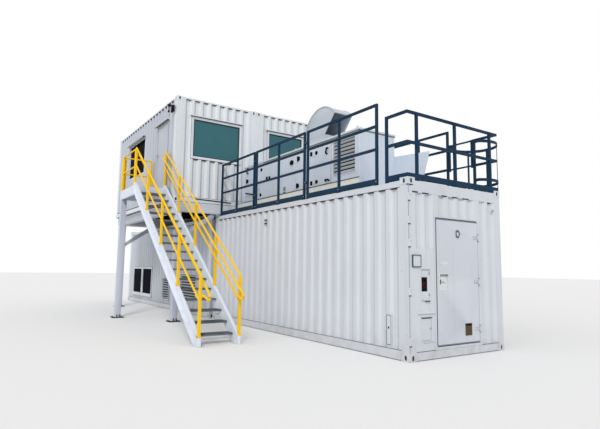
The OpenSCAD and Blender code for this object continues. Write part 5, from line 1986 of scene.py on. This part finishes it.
    def _bolts(self) -> None:
        """Puts bolts along the stringers and the landing's fascia."""
        form = Form()
        for i in range(1, self.steps):
            y, z = self.nose + i * self.going + 0.07, i * self.rise - 0.02
            for shift in (0.0, 0.11):
                form.spot((self.outer + 0.0555, y + shift, z), LEFTWARD)
        for y in (7.66, 7.8, 8.7, 8.84):
            for z in (3.36, 3.49):
                form.spot((self.outer - 0.001, y, z), LEFTWARD)
        self.screws(form, "stair_bolts", 0.011, 0.009, finish=self.paint.stair)


# Roof of the near container


@dataclass
class RoofGuards(SubAssembly):
    """Slate guards round the roof and the caged ladder.

    The plane is the middle of the guard on the left, whose panels are given by their two ends.
    """

    plane: float = 0.0325
    panels: tuple[Flat, ...] = ((0.72, 2.85), (2.925, 5.055), (5.13, 7.035))

    slot = "slate_paint"

    def build(self) -> None:
        """Builds the guards and the ladder."""
        guards = ("roof_guard_sides", "roof_guard_end", "roof_gate", "roof_ladder")
        self.soften(self.paint.slate, 0.0025, *guards)
        self._clamps()

    def _clamps(self) -> None:
        """Adds clamps between the panels, plates under the posts and bolts at their feet."""
        clamps, bolts = Form(self.plane), Form(self.plane)
        half_post = 0.0225
        for (_, end), (start, _) in zip(self.panels, self.panels[1:]):
            for z in (3.2, 4.05):
                clamps.block((-0.026, end - 0.035, z - 0.022), (0.026, start + 0.035, z + 0.022), 0.004)
                bolts.spot((-0.0275, (end + start) / 2, z), LEFTWARD)
        for start, end in self.panels:
            for y in (start + half_post, (start + end) / 2, end - half_post):
                clamps.block((-0.027, y - 0.04, 2.8465), (0.04, y + 0.04, 2.8545), 0.001)
                bolts.spot((0.03, y - 0.03, 2.857), UPWARD)
                bolts.spot((-0.0235, y, 2.914), LEFTWARD)
        self.add(clamps, "guard_clamps", self.paint.slate)
        self.screws(bolts, "guard_bolts", 0.008, 0.006)


@dataclass
class RoofUnit(SubAssembly):
    """Equipment housing on the near container's roof, with its louvre, screen and hood.

    Face and back are the planes of its panels, near and far the ends of its body, and joints the gaps
    between the panels. Outlines and places on the face are in y and z, as is the middle of the hood's
    arc. Latches are round, locks are round on a plate, and catches are flat.
    """

    face: float = 0.488
    back: float = 1.46
    near: float = 1.735
    far: float = 6.575
    base_end: float = 7.03
    base_top: float = 3.2
    top: float = 4.206
    joints: tuple[float, ...] = (2.64, 3.238, 4.01, 4.979, 5.72, 6.5)
    louvre: Rect = (1.84, 2.585, 3.331, 4.076)
    vent: Rect = (4.396, 4.506, 3.268, 3.378)
    latches: tuple[Flat, ...] = (
        (3.15, 3.958), (3.139, 3.306), (5.178, 3.702), (5.601, 3.979), (5.624, 3.317), (4.186, 3.911),
    )
    locks: tuple[Flat, ...] = ((3.34, 3.965), (3.328, 3.3), (5.3, 3.702))
    catches: tuple[Flat, ...] = ((3.861, 3.954), (3.887, 3.319), (4.13, 3.911), (6.38, 3.78))
    hood: Flat = (0.72, 1.24)
    hood_middle: Flat = (3.3, 4.436)
    hood_radius: float = 0.64

    slot = "unit_white"

    def build(self) -> None:
        """Builds the housing."""
        self.soften(self.paint.unit, 0.004, "unit_casing", "unit_roof", "unit_screen")
        self.soften(self.paint.hood, 0.003, "discharge_hood")
        self.dress(self.paint.cabin, "unit_louvre")
        self._louvre()
        self._seams()
        self._latches()
        self._handles()
        self._vent()
        self._screws()
        self._hood()

    def _louvre(self) -> None:
        """Puts a dark plate of painted shade behind the louvre and painted shade in the gaps between its
        blades.
        """
        y0, y1, z0, z1 = self.louvre
        bar, rim, count = 0.022, 0.02, 9
        back = Form().panel(self.louvre, -bar, 0.548, 0.556, Axis.X)
        shades = Form()
        pitch = (z1 - z0 - 2 * rim) / count
        size, tilt = (0.03, y1 - y0 - 2 * bar, 0.02), (0.0, 0.78, 0.0)
        for i in range(count):
            shades.slab((0.524, (y0 + y1) / 2, z0 + rim + (i + 0.5) * pitch + 0.022), size, tilt)
        self.add(back, "unit_louvre_back_shade", self.paint.rubber_and_shade)
        self.blocks(shades, "louvre_shades", self.paint.plastic)

    def _seams(self) -> None:
        """Adds the seal under the roof cap, the seam on the base and the gaps between the panels."""
        body, lip, face, near = self.face + 0.012, 0.01, self.face, self.near
        low, high, seal_end = self.top - 0.062, self.top - 0.04, 5.53
        base, base_end = self.base_top, self.base_end
        seal = Form()
        seal.block((body - lip, near - lip, low), (body + 0.004, seal_end, high), 0.002)
        seal.block((body - lip, near - lip, low), (self.back + lip, near + 0.004, high), 0.002)
        seal.block((self.back - 0.004, near - lip, low), (self.back + lip, seal_end, high), 0.002)
        seal.block((face - 0.003, near - 0.003, base - 0.004), (face + 0.008, base_end, base + 0.008))
        self.add(seal, "roof_cap_seal", self.paint.trim)
        start, end = (face - 0.002, near + 0.02, base - 0.3), (face + 0.004, base_end - 0.01, base - 0.006)
        self.add(Form().block(start, end, 0.001), "unit_base_cover", self.paint.unit_base)
        gaps, width = Form(), 0.004
        foot, head = 3.222, 4.128
        for x in (body - 0.003, self.back - 0.001):
            for y in self.joints[:-1]:
                gaps.block((x, y - 0.005, foot), (x + width, y + 0.005, head))
            gaps.block((x, near + 0.002, foot - 0.014), (x + width, self.far - 0.002, foot))
            gaps.block((x, self.joints[0], head), (x + width, self.joints[-1], head + 0.006))
        self.add(gaps, "unit_panel_gaps", self.paint.caulk_and_shade)

    def _latches(self) -> None:
        """Adds the round latches with their turned grips and the flat catches of the access doors."""
        form, back = Form(self.face), self.back - self.face
        for y, z in self.latches:
            form.rod((0.002, y, z), (-0.014, y, z), 0.046, 20, 0.04)
            form.block((-0.03, y - 0.01, z - 0.036), (-0.012, y + 0.01, z + 0.036), 0.003)
        for y, z in self.locks:
            form.block((-0.01, y - 0.032, z - 0.048), (0.002, y + 0.032, z + 0.048), 0.004)
            form.rod((-0.006, y, z + 0.02), (-0.03, y, z + 0.02), 0.026, 16, 0.022)
            form.block((-0.034, y - 0.013, z - 0.046), (-0.02, y + 0.013, z + 0.036), 0.003)
        for y in (2.74, 3.9, 4.08, 5.62):
            for z in (3.34, 3.98):
                form.rod((back - 0.002, y, z), (back + 0.014, y, z), 0.034, 20, 0.03)
                form.block((back + 0.01, y - 0.01, z - 0.034), (back + 0.026, y + 0.01, z + 0.034), 0.003)
        for y, z in self.catches:
            form.block((-0.012, y - 0.06, z - 0.042), (0.002, y + 0.06, z + 0.042), 0.005)
            form.block((-0.034, y - 0.028, z - 0.058), (-0.01, y + 0.028, z + 0.058), 0.006)
        self.add(form, "unit_latches", self.paint.plastic)

    def _handles(self) -> None:
        """Adds the bent handles and the long lever of the access doors."""
        paths, out = Form(self.face), -0.045
        for foot0, bend0, bend1, foot1 in (
            ((2.735, 3.985), (2.735, 3.985), (2.765, 3.865), (2.765, 3.865)),
            ((2.69, 3.275), (2.69, 3.292), (2.795, 3.292), (2.795, 3.275)),
            ((6.33, 4.125), (6.33, 4.12), (6.345, 3.99), (6.345, 3.985)),
            ((6.387, 3.448), (6.387, 3.448), (6.041, 3.378), (6.041, 3.378)),
        ):
            paths.path([(0.0, *foot0), (out, *bend0), (out, *bend1), (0.0, *foot1)])
        self.tube(paths, "unit_handles", self.paint.plastic, 0.036, 0.03, 12)

    def _vent(self) -> None:
        """Adds the small grey vent with its slits."""
        vent = Form(self.face).trim(self.vent, 0.0, -0.008, 0.002, 0.01, Axis.X)
        vent.panel(self.vent, -0.004, -0.004, 0.002, Axis.X)
        self.add(vent, "unit_vent", self.paint.grey_and_leg_shade)
        slits = Form(self.face, (self.vent[0] + self.vent[1]) / 2)
        for i in range(5):
            slits.slab((-0.006, 0.0, 3.288 + i * 0.0175), (0.006, 0.08, 0.006))
        slits.slab((-0.004, 0.0, 3.236), (0.012, 0.07, 0.02))
        self.blocks(slits, "unit_vent_slits", self.paint.plastic)

    def _screws(self) -> None:
        """Puts screws beside the panel gaps and lifting eyes on the roof."""
        rivets = Form()
        for y in self.joints:
            for place in (y - 0.022, y + 0.022):
                if self.joints[0] < place < self.joints[-1]:
                    for i in range(5):
                        rivets.spot((self.face - 0.001, place, 3.26 + i * 0.206), LEFTWARD)
        self.screws(rivets, "unit_screws", 0.006, 0.004, 8)
        eyes = Form()
        foot, head = self.top - 0.003, self.top + 0.055
        for y in (self.near + 0.12, 4.105, self.far - 0.12):
            y0, y1 = y - 0.035, y + 0.035
            for x in (self.face + 0.072, 1.4):
                eyes.path([(x, y0, foot), (x, y0, head), (x, y1, head), (x, y1, foot)])
        self.tube(eyes, "unit_lifting_eyes", self.paint.zinc, 0.014, 0.034, 10)

    def _on_arc(self, x: float, radius: float, degrees: float) -> Point:
        """Returns a place on an arc about the middle of the hood."""
        (y, z), angle = self.hood_middle, math.radians(degrees)
        return x, y + radius * math.cos(angle), z + radius * math.sin(angle)

    def _hood(self) -> None:
        """Adds the hood's flanges, seams and rivets."""
        left, right = self.hood
        paint, ribs = self.paint.hood, Form()
        start, end, count = 4, 136, 34
        angles = [start + (end - start) * i / count for i in range(count + 1)]
        for x in (left + 0.004, right - 0.004):
            ribs.path([self._on_arc(x, self.hood_radius + 0.004, angle) for angle in angles])
        run = self.growers.flats.run
        self.settle(run(ribs, "hood_flanges", finish=paint, width=0.022, depth=0.012, bend=0.0))
        rivets, side = Form(), left - 0.001
        for i in range(18):
            rivets.spot(self._on_arc(side, self.hood_radius - 0.028, 8 + i * 7.3), LEFTWARD)
        for y in (3.24, 3.4, 3.56, 3.72, 3.88):
            rivets.spot((side, y, self.top + 0.035), LEFTWARD)
        self.screws(rivets, "hood_rivets", 0.008, 0.005, 10)
        foot, middle = Form(left, 3.18, self.top), self.hood_middle[1] - self.top
        width, length = right - left, 0.76
        foot.block((-0.03, 0.0, -0.001), (0.001, length, 0.006), 0.002)
        foot.block((width - 0.001, 0.0, -0.001), (width + 0.03, length, 0.006), 0.002)
        foot.block((-0.004, 0.0, middle - 0.006), (0.001, length, middle + 0.008), 0.001)
        self.add(foot, "hood_curb_flange", paint)


# Setting


@dataclass(frozen=True)
class Viewpoint:
    """Camera of the picture, in building coordinates.

    Yaw turns from x towards y, and the angles are in radians. Reach is the focal length for a picture
    one unit wide.
    """

    place: Point = (-5.6501, -5.3221, 1.3987)
    yaw: float = 0.977
    pitch: float = 0.1129
    roll: float = -0.0135
    reach: float = 483.4017 / 600

    def build(self) -> Piece:
        """Builds the camera and makes it the scene's own.

        Returns:
            The camera.
        """
        flat = math.cos(self.pitch)
        ahead = Vector((flat * math.cos(self.yaw), flat * math.sin(self.yaw), math.sin(self.pitch)))
        right = ahead.cross(Vector(UPWARD)).normalized()
        down = ahead.cross(right)
        turned_right = math.cos(self.roll) * right + math.sin(self.roll) * down
        turned_down = math.cos(self.roll) * down - math.sin(self.roll) * right
        data = bpy.data.cameras.new("viewpoint")
        data.sensor_width = 36.0
        data.lens = 36.0 * self.reach
        data.clip_end = 200.0
        camera = show("viewpoint", data)
        turn = Matrix((turned_right, -turned_down, -ahead)).transposed().to_4x4()
        camera.matrix_world = Matrix.Translation(ORIGIN + Vector(self.place)) @ turn
        bpy.context.scene.camera = camera
        return camera


@dataclass
class Studio:
    """Plain pale floor, soft lamps and an even sky."""

    floor: Finish = FloorPaint("studio_floor", (0.8, 0.8, 0.8))
    sky_strength: float = 0.68
    key_strength: float = 1.5
    fill_strength: float = 0.5

    def build(self) -> None:
        """Builds the floor, the world and the lamps."""
        floor = Form().block((-90.0, -90.0, -0.02), (110.0, 110.0, 0.0)).piece("studio_floor")
        floor.data.materials.append(self.floor.build())
        floor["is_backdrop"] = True
        world = bpy.data.worlds.new("studio")
        world.use_nodes = True
        wiring = Wiring(world.node_tree)
        ray = wiring.add("ShaderNodeLightPath").outputs
        seen = ray["Is Camera Ray"]
        for other in ("Is Glossy Ray", "Is Transmission Ray"):
            seen = wiring.math("MAXIMUM", seen, ray[other])
        strength = wiring.span(seen, 0.0, 1.0, self.sky_strength, 1.0)
        light = {"Color": (1.0, 1.0, 1.0, 1.0), "Strength": strength}
        wiring.add("ShaderNodeOutputWorld", {"Surface": wiring.out("ShaderNodeBackground", light)})
        bpy.context.scene.world = world
        self._sun("key_sun", Vector((0.5, 0.75, -0.72)), self.key_strength, 12.0)
        self._sun("fill_sun", Vector((0.9, 0.1, -0.42)), self.fill_strength, 50.0)

    @staticmethod
    def _sun(name: str, direction: Vector, strength: float, softness: float) -> None:
        """Adds one soft distant lamp.

        Args:
            name: Name of the lamp.
            direction: Where its light travels.
            strength: Its strength.
            softness: Width of its disc in degrees.
        """
        data = bpy.data.lights.new(name, "SUN")
        data.energy = strength
        data.angle = math.radians(softness)
        show(name, data).rotation_euler = direction.to_track_quat("-Z", "Y").to_euler()


def keep_sizes() -> None:
    """Works out the solids' box and the dressed building's box."""
    boxes = {"cad": CAD_BOX, "visual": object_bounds()}
    boxes = {name: [list(corner) for corner in box] for name, box in boxes.items()}


def main() -> None:
    """Builds the dressed building and its setting."""
    logging.basicConfig(level=logging.INFO, format="%(name)s: %(message)s")
    finishes, growers = Finishes(), Growers()
    for assembly in (
        ContainerShells, GroundDoor, DoorSide, RearSide, UpperCabin, OutsideStair, RoofGuards, RoofUnit,
    ):
        assembly(finishes, growers).build()
    Viewpoint().build()
    Studio().build()
    bpy.context.scene.view_settings.view_transform = "Standard"
    keep_sizes()


if __name__ == "__main__":
    main()
